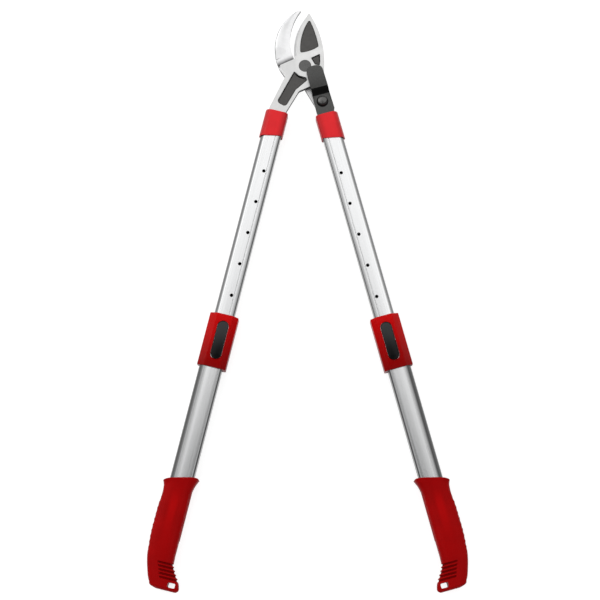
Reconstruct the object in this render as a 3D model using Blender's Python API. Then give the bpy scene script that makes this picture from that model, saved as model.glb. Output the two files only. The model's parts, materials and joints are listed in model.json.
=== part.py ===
"""Telescopic lopper: a bypass blade and hook on a compound lever, with two telescopic arms.

Metres, +Z up. The lopper lies on its back, the head towards +Y and its front towards +Z. The head is
drawn about the main pivot. Each arm is drawn in its own frame: +Y runs from the grip to the head, and
a place "along" the arm is measured from the frame down towards the grip. "Across" the arm is measured
from its middle towards the other arm.
"""

import math

import bmesh
import bpy
import numpy as np

# Fits between pieces
GAP = 0.0003
NEST_GAP = 0.0008

# Arms: where their middle lines cross the pivot's height, and their lean at rest
LEFT_ARM_X = -0.0248
RIGHT_ARM_X = 0.0117
LEFT_ARM_LEAN = math.radians(13.76)
RIGHT_ARM_LEAN = math.radians(15.15)
RIGHT_ARM_EXTRA = 0.0042

# Front piece: blade, shoulder and shank in one forging
PLATE = 0.008
BLADE_THICKNESS = 0.0065
BLADE_LAND = 0.0005
BLADE_REACH = 0.088
BLADE_TIP_X = 0.0062
HEEL_X = -0.0155
HEEL_Y = 0.012
EDGE_BULGE = 0.0091
BEVEL_WIDTH = 0.0040
SPINE_X = 0.0296
SPINE_FOOT_Y = -0.002
SPINE_BULGE = 0.0075
STEP_LEFT_Y = 0.0165
STEP_RIGHT_Y = 0.0305
STEP_SAG = 0.0022
STEP_RUN = 0.0065
STEP_LEFT_SHARE = 0.65
SHOULDER_X = -0.0388
SHOULDER_Y = 0.0013
SHOULDER_FOOT_X = -0.0301
SHOULDER_FOOT_Y = -0.016
SHOULDER_BULGE = 0.0007
LUG_X = 0.006
LUG_Y = -0.0342
LUG_BULGE = 0.0075
CROTCH_X = -0.0087
CROTCH_Y = -0.0413
BLADE_INLAY_FOOT_Y = 0.0222
BLADE_INLAY_TOP_MARGIN = 0.0107
BLADE_INLAY_CORNER = 0.0026
WEB_INLAY_CORNER = 0.0013
POCKET_DEPTH = 0.0014
INLAY_THICKNESS = 0.0009

# Rear piece: hook and tail
HOOK_THICKNESS = 0.008
HOOK_TIP_X = -0.0093
HOOK_TIP_Y = 0.0955
HOOK_NOSE = 0.0028
HOOK_BACK_BULGE = 0.0271
HOOK_THROAT_BULGE = 0.0119
THROAT_ANGLE = math.radians(147)
BOSS_RADIUS = 0.018
TAIL_RADIUS = 0.0128
HOOK_RIDGE = 0.0036
RIDGE_THROAT_INSET = 0.0052
RIDGE_BACK_INSET = 0.0006
RIDGE_THROAT_SHARE = 0.7
RIDGE_BACK_SHARE = 0.1
RIDGE_FOOT_Y = 0.012
RELIEF_RADIUS = 0.0395
RELIEF_RUN = 0.016
SCOOP_DEPTH = 0.0032
SCOOP_REACH = 0.013
SCOOP_BACK = 0.005
SCOOP_PAST_HEEL = 0.001

# Main pivot
PIVOT_RADIUS = 0.005
PIVOT_HEAD_RADIUS = 0.0094
PIVOT_HEAD = 0.0023
NUT_FLATS = 0.016
NUT_HEIGHT = 0.004
BOLT_END = 0.0008
WASHER_RADIUS = 0.0088
WASHER = 0.0012

# Drive lever, drawn in the right arm's frame
LEVER_BOLT_ALONG = 0.059
LEVER_ACROSS = -0.0006
LEVER_TOP_ALONG = 0.0124
LEVER_TOP_HALF_WIDTH = 0.0129
LEVER_TOP_RISE = 0.0105
LEVER_TOP_SQUARENESS = 0.8
LEVER_HALF_WIDTH = 0.0142
LEVER_SHOULDER_ALONG = 0.0735
LOBE_THICKNESS = 0.0057
JOGGLE_FRONT_ALONG = 0.038
JOGGLE_BACK_ALONG = 0.0425
JOGGLE_RUN = 0.0105
LEVER_BOLT_RADIUS = 0.004
LEVER_DOME_RADIUS = 0.0076
LEVER_DOME = 0.0036
LEVER_NUT_FLATS = 0.013
LEVER_NUT_HEIGHT = 0.0035
DRIVE_PIN_ALONG = 0.017
DRIVE_PIN_RADIUS = 0.003
DRIVE_PIN_SEAT = 0.004
LEVER_RATIO = 0.40
JAW_CLOSED = math.radians(-13)
JAW_OPEN = math.radians(45)

# Tubes: a round outer side, flat faces and small inner corners
UPPER_HALF_WIDTH = 0.0154
UPPER_HALF_DEPTH = 0.0112
UPPER_WALL = 0.0014
UPPER_NOSE = 0.008
UPPER_CORNER = 0.0028
GROOVE_ACROSS = 0.0077
GROOVE_HALF_WIDTH = 0.0005
GROOVE_DEPTH = 0.0005
LOWER_WALL = 0.0012
LOWER_NOSE = 0.0098
LOWER_CORNER = 0.0036
SMALLEST_CORNER = 0.0004
UPPER_OVERLAP = 0.003

# Collar at the head
COLLAR_TOP_ALONG = 0.0775
COLLAR_LENGTH = 0.0409
COLLAR_SLANT = 0.19
COLLAR_WALL = 0.0019
COLLAR_CAP = 0.003
TANG_HALF_WIDTH = 0.0132
TANG_LENGTH = 0.052
RIVET_RADIUS = 0.0024
RIVET_ALONG = (0.0935, 0.1085)

# Locking holes and clamp
HOLE_ALONG = 0.176
HOLE_PITCH = 0.050
HOLE_COUNT = 6
HOLE_RADIUS = 0.0026
LOCK_ACROSS = 0.0038
CLAMP_LENGTH = 0.0818
CLAMP_LEAD = 0.0188
CLAMP_LIP = 0.006
CLAMP_OUTER = 0.0210
CLAMP_INNER = 0.0228
CLAMP_FRONT = 0.0186
CLAMP_BACK = 0.0166
CLAMP_PANEL_OUTER = 0.0096
CLAMP_PANEL_INNER = 0.0144
CLAMP_OUTER_EDGE = 0.0060
CLAMP_INNER_EDGE = 0.0095
CLAMP_CHAMFER = 0.0012
CLAMP_RAMP_DROP = 0.0016
CLAMP_TOP_RAMP = 0.008
CLAMP_FOOT_RAMP = 0.0105

# Lock lever on its axle, with its pin and spring
WINDOW_RADIUS = 0.0087
WINDOW_HALF_SPAN = 0.021
WINDOW_RIM = 0.0009
WINDOW_RIM_HEIGHT = 0.0008
LOCK_SIDE_GAP = 0.0007
LOCK_REACH = 0.0214
LOCK_AXLE_Z = 0.0162
LOCK_AXLE_RADIUS = 0.0012
LOCK_AXLE_SEAT = 0.0012
LOCK_HUB = 0.0035
LOCK_HUB_Z = 0.0140
LOCK_UNDER_Z = 0.0166
LOCK_END_Z = 0.0194
LOCK_RIDGE_Z = 0.0210
LOCK_PIN_RADIUS = 0.0018
LOCK_PIN_TIP_RADIUS = 0.0012
LOCK_PIN_TAPER = 0.0015
LOCK_PIN_SEAT = 0.0020
LOCK_PASSAGE_RADIUS = 0.0034
SPRING_BACK = 0.019
SPRING_RADIUS = 0.0026
SPRING_WIRE = 0.0004
SPRING_TURNS = 4
SPRING_WELL = 0.0022

# End plug that guides the upper tube inside the lower one
PLUG_LENGTH = 0.014
PLUG_FLANGE = 0.003
PLUG_WALL = 0.0016

# Grip
GRIP_ALONG = 0.662
GRIP_LENGTH = 0.1595
GRIP_SOCKET = 0.086
MOUTH_SLANT = 0.256
MOUTH_ARCH = 0.004
MOUTH_LEAN_LENGTH = 0.014
GRIP_SQUARENESS = 0.48
GRIP_END_SQUARENESS = 0.70
RIB_FIRST = 0.034
RIB_PITCH = 0.0084
RIB_COUNT = 10
RIB_DEPTH = 0.0005
NOTCH_FIRST_FROM_END = 0.0375
NOTCH_PITCH = 0.0051
NOTCH_COUNT = 5
NOTCH_HALF_WIDTH = 0.0012
NOTCH_SLOPE = 0.0005
NOTCH_DEPTH = 0.0016
NOTCH_SPREAD = 0.35
MOUTH_RINGS = (0, 0.004, 0.009, 0.015, 0.023)
END_RINGS = (0.012, 0.008, 0.0045, 0.0015, 0)
SLOT_FROM_END = 0.0088
SLOT_ACROSS = 0.0246
SLOT_WIDTH = 0.0109
SLOT_HEIGHT = 0.0072
SLOT_CORNER = 0.0018

# How far the grip stands out from its socket at fractions of its length: outer side, inner side, depth
GRIP_OUTER = ((0, 0.0079), (0.07, 0.0056), (0.15, 0.0047), (0.25, 0.0062), (0.39, 0.0066), (0.51, 0.0065))
GRIP_OUTER += ((0.635, 0.0051), (0.71, 0.0038), (0.84, -0.0014), (0.95, -0.0085), (0.985, -0.0125))
GRIP_OUTER += ((1, -0.0190),)
GRIP_INNER = ((0, 0.0079), (0.04, 0.0040), (0.09, 0.0016), (0.2, 0.0014), (0.6, 0.0014), (0.7, 0.0015))
GRIP_INNER += ((0.76, 0.0024), (0.82, 0.0070), (0.885, 0.0135), (0.94, 0.0176), (0.975, 0.0184), (1, 0.0162))
GRIP_DEEP = ((0, 0.0054), (0.05, 0.0041), (0.12, 0.0032), (0.5, 0.0031), (0.65, 0.0024), (0.8, 0.0006))
GRIP_DEEP += ((0.95, -0.0022), (0.985, -0.0032), (1, -0.0052))

# Facets
ROUND = 24
RING = 24
NOSE_STEPS = 8
CORNER_STEPS = 3

# What follows from the sizes above
PLATE_FRONT = PLATE / 2
BLADE_FRONT = BLADE_THICKNESS - PLATE_FRONT
HOOK_FRONT = -PLATE_FRONT - GAP
HOOK_BACK = HOOK_FRONT - HOOK_THICKNESS
LOBE_BACK = PLATE_FRONT + GAP
LOBE_FRONT = LOBE_BACK + LOBE_THICKNESS
LOWER_HALF_WIDTH = UPPER_HALF_WIDTH + NEST_GAP + LOWER_WALL
LOWER_HALF_DEPTH = UPPER_HALF_DEPTH + NEST_GAP + LOWER_WALL
LOCK_HOLE_ALONG = HOLE_ALONG + (HOLE_COUNT - 1) * HOLE_PITCH
CLAMP_TOP_ALONG = LOCK_HOLE_ALONG - CLAMP_LEAD
CLAMP_FOOT_ALONG = CLAMP_TOP_ALONG + CLAMP_LENGTH
LOCK_AXLE_ALONG = LOCK_HOLE_ALONG + LOCK_REACH
UPPER_START = COLLAR_TOP_ALONG + COLLAR_CAP + GAP
UPPER_END = CLAMP_FOOT_ALONG + UPPER_OVERLAP
LOWER_START = CLAMP_TOP_ALONG + CLAMP_LIP + GAP
LOWER_END = GRIP_ALONG + GRIP_SOCKET

STEEL = ("forged_steel", (0.74, 0.75, 0.76, 1), 0.32, 1.0)
DARK_STEEL = ("dark_lever_steel", (0.085, 0.085, 0.083, 1), 0.42, 0.6)
BOLT_STEEL = ("blackened_bolt_steel", (0.13, 0.13, 0.128, 1), 0.38, 0.7)
NUT_STEEL = ("zinc_plated_steel", (0.62, 0.63, 0.65, 1), 0.35, 1.0)
DARK_INLAY = ("dark_inlay_enamel", (0.07, 0.068, 0.066, 1), 0.55, 0.0)
ALUMINIUM = ("anodised_aluminium", (0.80, 0.81, 0.82, 1), 0.34, 1.0)
RED_PLASTIC = ("red_nylon", (0.62, 0.015, 0.02, 1), 0.40, 0.0)
RED_RUBBER = ("red_grip_rubber", (0.48, 0.008, 0.01, 1), 0.55, 0.0)
BLACK_PLASTIC = ("black_nylon", (0.025, 0.025, 0.026, 1), 0.45, 0.0)
SPRING_STEEL = ("spring_steel", (0.5, 0.5, 0.52, 1), 0.3, 1.0)


# Outlines in a plane, as arrays of points


def arc(start, end, bulge, steps):
    """Points from start, with end left out, on an arc that bulges by that much to the right of the way."""
    start, end = np.array(start), np.array(end)
    chord = end - start
    length = np.hypot(*chord)
    forward = chord / length
    side = np.array((forward[1], -forward[0])) * math.copysign(1, bulge)
    rise = abs(bulge)
    radius = (length**2 / 4 + rise**2) / (2 * rise)
    half = math.asin(length / 2 / radius)
    half = math.pi - half if rise > radius else half
    centre = (start + end) / 2 + side * (rise - radius)
    turn = np.linspace(-half, half, steps + 1)[:-1, None]
    return centre + radius * (np.cos(turn) * side + np.sin(turn) * forward)


def circle_part(centre, radius, first, last, steps):
    """Points on a circle from one angle to another, both ends kept."""
    turn = np.linspace(first, last, steps + 1)
    return np.array(centre) + radius * np.stack([np.cos(turn), np.sin(turn)], axis=1)


def circle(radius, centre=(0, 0), steps=ROUND):
    return circle_part(centre, radius, 0, 2 * math.pi, steps)[:-1]


def rounded(corners, radii, steps=CORNER_STEPS):
    """A polygon, listed anticlockwise, with each corner turned into an arc of its radius."""
    corners = [np.array(corner) for corner in corners]
    points = []
    for index, (corner, radius) in enumerate(zip(corners, np.broadcast_to(radii, len(corners)))):
        before = corners[index - 1] - corner
        after = corners[(index + 1) % len(corners)] - corner
        before, after = before / np.hypot(*before), after / np.hypot(*after)
        half = math.acos(np.clip(before @ after, -1, 1)) / 2
        back = radius / math.tan(half)
        way_in, way_out = corner + before * back, corner + after * back
        turns_left = after[0] * before[1] - after[1] * before[0] > 0
        bulge = radius * (1 - math.sin(half)) * (1 if turns_left else -1)
        points.append(arc(way_in, way_out, bulge, steps))
        points.append([way_out])
    return np.concatenate(points)


def bowed(corners, bows, radius, steps=6):
    """Arcs from corner to corner, listed anticlockwise, with each corner rounded off."""
    sides = []
    for index, corner in enumerate(corners):
        following = corners[(index + 1) % len(corners)]
        sides.append(np.concatenate([arc(corner, following, bows[index], 60), [following]]))
    cuts = []
    for index, side in enumerate(sides):
        before, after = sides[index - 1][-2] - side[0], side[1] - side[0]
        half = math.acos(before @ after / np.hypot(*before) / np.hypot(*after)) / 2
        cuts.append((radius / math.tan(half), radius * (1 - math.sin(half))))
    trimmed = []
    for index, side in enumerate(sides):
        start, end = side - side[0], side - side[-1]
        clear = np.hypot(start[:, 0], start[:, 1]) > cuts[index][0]
        clear &= np.hypot(end[:, 0], end[:, 1]) > cuts[(index + 1) % len(sides)][0]
        kept = side[clear]
        trimmed.append(kept[np.linspace(0, len(kept) - 1, steps + 1).astype(int)])
    points = []
    for index, side in enumerate(trimmed):
        points.append(arc(trimmed[index - 1][-1], side[0], cuts[index][1], 3))
        points.append(side[:-1])
    return np.concatenate(points)


def capsule(half_span, radius, centre=(0, 0), steps=10):
    """An outline with round ends, long along Y."""
    top = circle_part((centre[0], centre[1] + half_span), radius, 0, math.pi, steps)
    foot = circle_part((centre[0], centre[1] - half_span), radius, math.pi, 2 * math.pi, steps)
    return np.concatenate([top, foot])


def slot(start, end, radius, steps=8):
    """The outline that a disc of that radius sweeps along a straight line."""
    heading = math.atan2(end[1] - start[1], end[0] - start[0]) - math.pi / 2
    far = circle_part(end, radius, heading, heading + math.pi, steps)
    near = circle_part(start, radius, heading + math.pi, heading + 2 * math.pi, steps)
    return np.concatenate([far, near])


def turned(points, angle):
    """Points turned anticlockwise about the origin."""
    cos, sin = math.cos(angle), math.sin(angle)
    return np.array(points) @ np.array(((cos, sin), (-sin, cos)))


# Solids, as a list of points and a list of faces


def loft(rings, fanned=False):
    """A closed solid through rings with the same number of points. Bent end rings need fanned ends."""
    rings = [np.array(ring, float) for ring in rings]
    count = len(rings[0])
    faces = []
    for ring in range(len(rings) - 1):
        for index in range(count):
            here, after = ring * count + index, ring * count + (index + 1) % count
            faces.append([here, after, after + count, here + count])
    for first, ring in ((0, rings[0]), ((len(rings) - 1) * count, rings[-1])):
        corners = list(range(first, first + count))
        if not fanned:
            faces.append(corners)
            continue
        middle = (len(rings) - 1) * count + count + (first > 0)
        faces += [[corner, after, middle] for corner, after in zip(corners, corners[1:] + corners[:1])]
    ends = [rings[0].mean(axis=0, keepdims=True), rings[-1].mean(axis=0, keepdims=True)] if fanned else []
    return np.concatenate(rings + ends), faces


def level(outline, z):
    return np.column_stack([outline, np.full(len(outline), z)])


def prism(outline, low, high):
    return loft([level(outline, low), level(outline, high)])


def turned_solid(profile, centre=(0, 0), steps=ROUND):
    """A solid of revolution about Z from (radius, z) pairs."""
    return loft([level(circle(radius, centre, steps), z) for radius, z in profile])


def bar(section, start, end, slant_start=0.0, slant_end=0.0):
    """A section of (across, z) points carried along an arm. A slant moves an end with the across place."""
    section = np.array(section)

    def ring(along, slant):
        return np.column_stack([section[:, 0], -along + slant * section[:, 0], section[:, 1]])

    return loft([ring(start, slant_start), ring(end, slant_end)])


def mirrored(solid, side):
    """A solid drawn for the left arm, whose inner side is +X, as it is on the arm of that side."""
    points, faces = solid
    return points * (side, 1, 1), faces


def new_mesh(name, solids):
    """One mesh from several solids, with every face pointing out."""
    shell = bmesh.new()
    for points, faces in solids:
        corners = [shell.verts.new(point) for point in points]
        for face in faces:
            shell.faces.new([corners[index] for index in face])
    bmesh.ops.recalc_face_normals(shell, faces=shell.faces[:])
    mesh = bpy.data.meshes.new(name)
    shell.to_mesh(mesh)
    shell.free()
    mesh.shade_smooth()
    mesh.set_sharp_from_angle(angle=math.radians(32))
    return mesh


def material(finish):
    name, colour, roughness, metallic = finish
    found = bpy.data.materials.get(name)
    if found:
        return found
    made = bpy.data.materials.new(name)
    made.use_nodes = True
    shader = made.node_tree.nodes["Principled BSDF"]
    shader.inputs["Base Color"].default_value = colour
    shader.inputs["Roughness"].default_value = roughness
    shader.inputs["Metallic"].default_value = metallic
    made.diffuse_color = colour
    return made


def node(name, solids, finish, parent):
    """A visible piece, in its parent's frame."""
    piece = bpy.data.objects.new(name, new_mesh(name, solids))
    piece.data.materials.append(material(finish))
    piece.parent = parent
    bpy.context.scene.collection.objects.link(piece)
    return piece


def shape(piece, operation, label, solids):
    """Cuts helper solids from a piece, joins them to it or keeps what lies within them."""
    helper = bpy.data.objects.new(f"{piece.name}_{label}", new_mesh(label, solids))
    helper.parent = piece.parent
    helper.hide_render = True
    helper.display_type = "WIRE"
    bpy.context.scene.collection.objects.link(helper)
    modifier = piece.modifiers.new(label, "BOOLEAN")
    modifier.operation = operation
    modifier.object = helper
    modifier.solver = "EXACT"


def axis(name, parent, place, angle=0.0):
    """An empty that marks a joint or an arm, turned about Z."""
    mark = bpy.data.objects.new(name, None)
    mark.empty_display_size = 0.02
    mark.parent = parent
    mark.location = (*place, 0) if len(place) == 2 else place
    mark.rotation_euler = (0, 0, angle)
    bpy.context.scene.collection.objects.link(mark)
    return mark


# Places in the head that several pieces share


def right_arm_point(across, along):
    """A place in the right arm's frame, as seen from the main pivot."""
    return turned([(-across, -along)], RIGHT_ARM_LEAN)[0] + (RIGHT_ARM_X, 0)


def left_arm_point(across, along):
    """A place in the left arm's frame, as seen from the main pivot."""
    return turned([(across, -along)], -LEFT_ARM_LEAN)[0] + (LEFT_ARM_X, 0)


def lever_bolt_place():
    return right_arm_point(0, LEVER_BOLT_ALONG)


def drive_pin_place(swing=0.0):
    """The drive pin beside the front piece, once the jaw has swung by that angle."""
    bolt = lever_bolt_place()
    arm = right_arm_point(0, DRIVE_PIN_ALONG) - bolt
    return turned([bolt], swing)[0] + turned([arm], swing * (1 + LEVER_RATIO))[0]


def drive_slot_outline():
    """A straight slot just wide enough for the pin's whole path."""
    path = np.array([drive_pin_place(swing) for swing in np.linspace(JAW_CLOSED, JAW_OPEN, 13)])
    way = (path[-1] - path[0]) / np.hypot(*(path[-1] - path[0]))
    side = np.array((way[1], -way[0]))
    bow = (path - path[0]) @ side
    shift = side * (bow.max() + bow.min()) / 2
    return slot(path[0] + shift, path[-1] + shift, DRIVE_PIN_RADIUS + GAP + np.ptp(bow) / 2)


def spine_at(y):
    """The spine's point at that height."""
    points = arc((SPINE_X, SPINE_FOOT_Y), (BLADE_TIP_X, BLADE_REACH), SPINE_BULGE, 200)
    return np.array((np.interp(y, points[:, 1], points[:, 0]), y))


# Head


def shank_outline(step_drop):
    """Shoulder, shank and lug, up to the ground step, whose right end may lie lower by step_drop."""
    tang_end = COLLAR_TOP_ALONG + TANG_LENGTH
    step_right = spine_at(STEP_RIGHT_Y - step_drop)
    step_left = (HEEL_X, STEP_LEFT_Y - STEP_LEFT_SHARE * step_drop)
    return np.concatenate(
        [
            arc(step_right, step_left, -STEP_SAG, 6),
            [step_left, (HEEL_X, HEEL_Y)],
            arc((SHOULDER_X, SHOULDER_Y), (SHOULDER_FOOT_X, SHOULDER_FOOT_Y), SHOULDER_BULGE, 3),
            [(SHOULDER_FOOT_X, SHOULDER_FOOT_Y)],
            [left_arm_point(-TANG_HALF_WIDTH, COLLAR_TOP_ALONG - 0.005)],
            [left_arm_point(-TANG_HALF_WIDTH, tang_end), left_arm_point(TANG_HALF_WIDTH, tang_end)],
            [left_arm_point(TANG_HALF_WIDTH, COLLAR_TOP_ALONG - 0.003)],
            arc((CROTCH_X - 0.0022, CROTCH_Y - 0.0025), (CROTCH_X + 0.0035, CROTCH_Y + 0.0018), -0.0008, 3),
            [(CROTCH_X + 0.0035, CROTCH_Y + 0.0018)],
            arc((LUG_X, LUG_Y), (SPINE_X, SPINE_FOOT_Y), LUG_BULGE, 7),
            [spine_at(y) for y in np.linspace(SPINE_FOOT_Y, STEP_RIGHT_Y - step_drop, 4)[:-1]],
        ]
    )


def blade_outline(inset):
    """The blade above the ground step, with its cutting edge drawn in by the ground bevel."""
    heel, tip = (HEEL_X, HEEL_Y), (BLADE_TIP_X, BLADE_REACH)
    edge = arc(tip, heel, EDGE_BULGE, 14)
    spine = arc((SPINE_X, SPINE_FOOT_Y), tip, SPINE_BULGE, 14)
    fraction = np.linspace(1, 0, 14)[:, None]
    way = np.gradient(edge, axis=0)
    inward = np.stack([-way[:, 1], way[:, 0]], axis=1) / np.hypot(way[:, 0], way[:, 1])[:, None]
    edge = edge + inward * inset * (1 - fraction**2)
    spine = spine[spine[:, 1] > STEP_RIGHT_Y + 0.001]
    return np.concatenate([edge, [(HEEL_X + inset, HEEL_Y), (0, 0), spine_at(STEP_RIGHT_Y)], spine])


def blade_inlay_outline(gap):
    """The dark bowed triangle beside the cutting edge."""
    top = BLADE_REACH - BLADE_INLAY_TOP_MARGIN
    left, right = (-0.0074, BLADE_INLAY_FOOT_Y), (0.0216, BLADE_INLAY_FOOT_Y + 0.0104)
    outline = bowed([left, right, (0.0071, top)], (0.0021, 0.0016, 0.0049), BLADE_INLAY_CORNER)
    return drawn_in(outline, gap)


def web_inlay_outline(gap):
    """The dark wedge between the pivot and the spine."""
    corners = [(0.0090, 0.0131), (0.0153, 0.0022), (0.0232, 0.0010), (0.0240, 0.0080), (0.0236, 0.0200)]
    return drawn_in(rounded(corners, WEB_INLAY_CORNER, 2), gap)


def shank_inlay_outline(gap):
    """The dark boot-shaped panel on the shank."""
    corners = [(-0.0168, -0.0086), (-0.0439, -0.0587), (-0.0300, -0.0668), (-0.0140, -0.0389)]
    corners += [(0.0036, -0.0236), (0.0022, -0.0190), (-0.0085, -0.0160)]
    radii = (0.0020, 0.0052, 0.0052, 0.0090, 0.0020, 0.0018, 0.0040)
    return drawn_in(rounded(corners, radii, 3), gap)


def drawn_in(outline, gap):
    """An anticlockwise outline moved inwards by a gap."""
    if not gap:
        return outline
    way = np.roll(outline, -1, axis=0) - np.roll(outline, 1, axis=0)
    way /= np.hypot(way[:, 0], way[:, 1])[:, None]
    return outline + np.stack([-way[:, 1], way[:, 0]], axis=1) * gap


def hexagon(flats, centre=(0, 0)):
    return circle(flats / math.sqrt(3), centre, 6)


def make_blade(head):
    """The front piece: a ground blade joined to a flat shoulder, lug, shank and tang."""
    body = loft(
        [
            level(shank_outline(0), -PLATE_FRONT),
            level(shank_outline(0), BLADE_FRONT),
            level(shank_outline(STEP_RUN), PLATE_FRONT),
        ]
    )
    blade = node("blade", [body], STEEL, head)
    wedge = loft(
        [
            level(blade_outline(0), -PLATE_FRONT),
            level(blade_outline(0), -PLATE_FRONT + BLADE_LAND),
            level(blade_outline(BEVEL_WIDTH), BLADE_FRONT),
        ]
    )
    shape(blade, "UNION", "wedge", [wedge])
    over = PLATE_FRONT + 0.001
    cutters = [
        prism(circle(PIVOT_RADIUS + GAP), -over, over),
        prism(drive_slot_outline(), -over, over),
    ]
    for along in RIVET_ALONG:
        cutters.append(prism(circle(RIVET_RADIUS + GAP, left_arm_point(0, along), 16), -over, over))
    shape(blade, "DIFFERENCE", "through_holes", cutters)
    pockets = [
        prism(circle(PIVOT_HEAD_RADIUS + GAP), PLATE_FRONT - PIVOT_HEAD - GAP, over),
        prism(blade_inlay_outline(0), BLADE_FRONT - POCKET_DEPTH, over),
        prism(web_inlay_outline(0), PLATE_FRONT - POCKET_DEPTH, over),
        prism(shank_inlay_outline(0), PLATE_FRONT - POCKET_DEPTH, over),
    ]
    shape(blade, "DIFFERENCE", "pockets", pockets)
    for name, outline, front in (
        ("blade_inlay", blade_inlay_outline, BLADE_FRONT),
        ("web_inlay", web_inlay_outline, PLATE_FRONT),
        ("shank_inlay", shank_inlay_outline, PLATE_FRONT),
    ):
        seat = front - POCKET_DEPTH + GAP
        node(name, [prism(outline(GAP), seat, seat + INLAY_THICKNESS)], DARK_INLAY, head)


def hook_outline():
    """Hook, pivot boss and tail, from the tip down the outer side and back up the throat."""
    bolt = lever_bolt_place()
    length = np.hypot(*bolt)
    heading = math.atan2(bolt[1], bolt[0])
    flare = math.acos((BOSS_RADIUS - TAIL_RADIUS) / length)
    throat = BOSS_RADIUS * np.array((math.cos(THROAT_ANGLE), math.sin(THROAT_ANGLE)))
    nose = (HOOK_TIP_X + HOOK_NOSE, HOOK_TIP_Y - HOOK_NOSE / 2)
    return np.concatenate(
        [
            arc((HOOK_TIP_X, HOOK_TIP_Y), (SHOULDER_FOOT_X, SHOULDER_FOOT_Y), HOOK_BACK_BULGE, 20),
            [(SHOULDER_FOOT_X, SHOULDER_FOOT_Y)],
            circle_part((0, 0), BOSS_RADIUS, heading - flare, heading - flare, 0),
            circle_part(bolt, TAIL_RADIUS, heading - flare, heading + flare, 12),
            circle_part((0, 0), BOSS_RADIUS, heading + flare, THROAT_ANGLE, 12)[:-1],
            arc(throat, nose, -HOOK_THROAT_BULGE, 14),
            [nose],
        ]
    )


def ridge_outline(share):
    """The raised back of the hook, drawn in by a share of its width, clear of the blade's path."""
    start = BOSS_RADIUS + 0.003
    throat_angle = THROAT_ANGLE + 0.02
    throat = start * np.array((math.cos(throat_angle), math.sin(throat_angle)))
    nose = (HOOK_TIP_X + HOOK_NOSE, HOOK_TIP_Y - HOOK_NOSE / 2)
    foot = (SHOULDER_FOOT_X, SHOULDER_FOOT_Y)
    back = arc((HOOK_TIP_X, HOOK_TIP_Y), foot, HOOK_BACK_BULGE, 24)[2:]
    inner = arc(throat, nose, -HOOK_THROAT_BULGE, 24)[:-4]
    back, inner = back[back[:, 1] > RIDGE_FOOT_Y], inner[inner[:, 1] > RIDGE_FOOT_Y]
    back = back + toward(back, (0.026, 0.032)) * RIDGE_BACK_INSET
    inner = inner - toward(inner, (0.058, 0.045)) * RIDGE_THROAT_INSET
    pairs = np.linspace(0, len(inner) - 1, len(back)).round().astype(int)
    across = inner[::-1][pairs] - back
    outer_line = back + across * RIDGE_BACK_SHARE * share
    inner_line = back + across * (1 - RIDGE_THROAT_SHARE * share)
    return np.concatenate([outer_line, inner_line[::-1]])


def toward(points, target):
    """Unit steps from each point to a target."""
    way = np.array(target) - points
    return way / np.hypot(way[:, 0], way[:, 1])[:, None]


def scoop():
    """The hollow beside the shoulder's edge, which deepens towards it as a cube, carried along that edge."""
    heel, shoulder = np.array((HEEL_X, HEEL_Y)), np.array((SHOULDER_X, SHOULDER_Y))
    way = (shoulder - heel) / np.hypot(*(shoulder - heel))
    off = np.array((way[1], -way[0]))
    share = np.linspace(0, 1, 7)
    floor = np.stack([SCOOP_REACH * share, HOOK_FRONT - SCOOP_DEPTH * (1 - share) ** 3], axis=1)
    top = HOOK_FRONT + HOOK_RIDGE + 0.001
    profile = np.concatenate([floor, [(SCOOP_REACH, top), (-SCOOP_BACK, top), (-SCOOP_BACK, HOOK_FRONT)]])
    rings = []
    for place in (heel - way * SCOOP_PAST_HEEL, shoulder + way * SCOOP_REACH):
        rings.append(np.column_stack([place + off * profile[:, :1], profile[:, 1]]))
    return loft(rings)


def make_hook(hinge):
    """The rear piece: a hook with a raised back, a round relief at the pivot and a tail."""
    bolt = lever_bolt_place()
    hook = node("hook", [prism(hook_outline(), HOOK_BACK, HOOK_FRONT)], STEEL, hinge)
    top = HOOK_FRONT + HOOK_RIDGE
    ridge = loft(
        [
            level(ridge_outline(0), HOOK_FRONT - 0.002),
            level(ridge_outline(0), HOOK_FRONT),
            level(ridge_outline(1), top),
        ]
    )
    shape(hook, "UNION", "ridge", [ridge])
    ramp = np.linspace(0, 1, 6)
    rise = ramp * ramp * (3 - 2 * ramp)
    roll = [(RELIEF_RADIUS + RELIEF_RUN * part, HOOK_FRONT + HOOK_RIDGE * up) for part, up in zip(ramp, rise)]
    roll.append((RELIEF_RADIUS + RELIEF_RUN, top + 0.001))
    shape(hook, "DIFFERENCE", "relief", [turned_solid(roll, steps=48)])
    shape(hook, "DIFFERENCE", "scoop", [scoop()])
    over = (HOOK_BACK - 0.001, HOOK_FRONT + 0.001)
    holes = [prism(circle(PIVOT_RADIUS + GAP), *over), prism(circle(LEVER_BOLT_RADIUS + GAP, bolt), *over)]
    shape(hook, "DIFFERENCE", "holes", holes)


def make_bolt(name, parent, place, profile):
    """A turned bolt about the place, from (radius, z) pairs."""
    node(name, [turned_solid(profile, place)], BOLT_STEEL, parent)


def make_washer_and_nut(prefix, parent, place, bolt_radius, washer_radius, nut_flats, nut_height):
    """A flat washer and a hexagon nut behind the hook, with running clearance on the bolt."""
    washer_front = HOOK_BACK - GAP
    nut_front = washer_front - WASHER - GAP
    hole = circle(bolt_radius + GAP, place)
    for name, outline, front, height in (
        (f"{prefix}_washer", circle(washer_radius, place), washer_front, WASHER),
        (f"{prefix}_nut", hexagon(nut_flats, place), nut_front, nut_height),
    ):
        piece = node(name, [prism(outline, front - height, front)], NUT_STEEL, parent)
        shape(piece, "DIFFERENCE", "hole", [prism(hole, front - height - 0.001, front + 0.001)])
    return nut_front - nut_height


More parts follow.
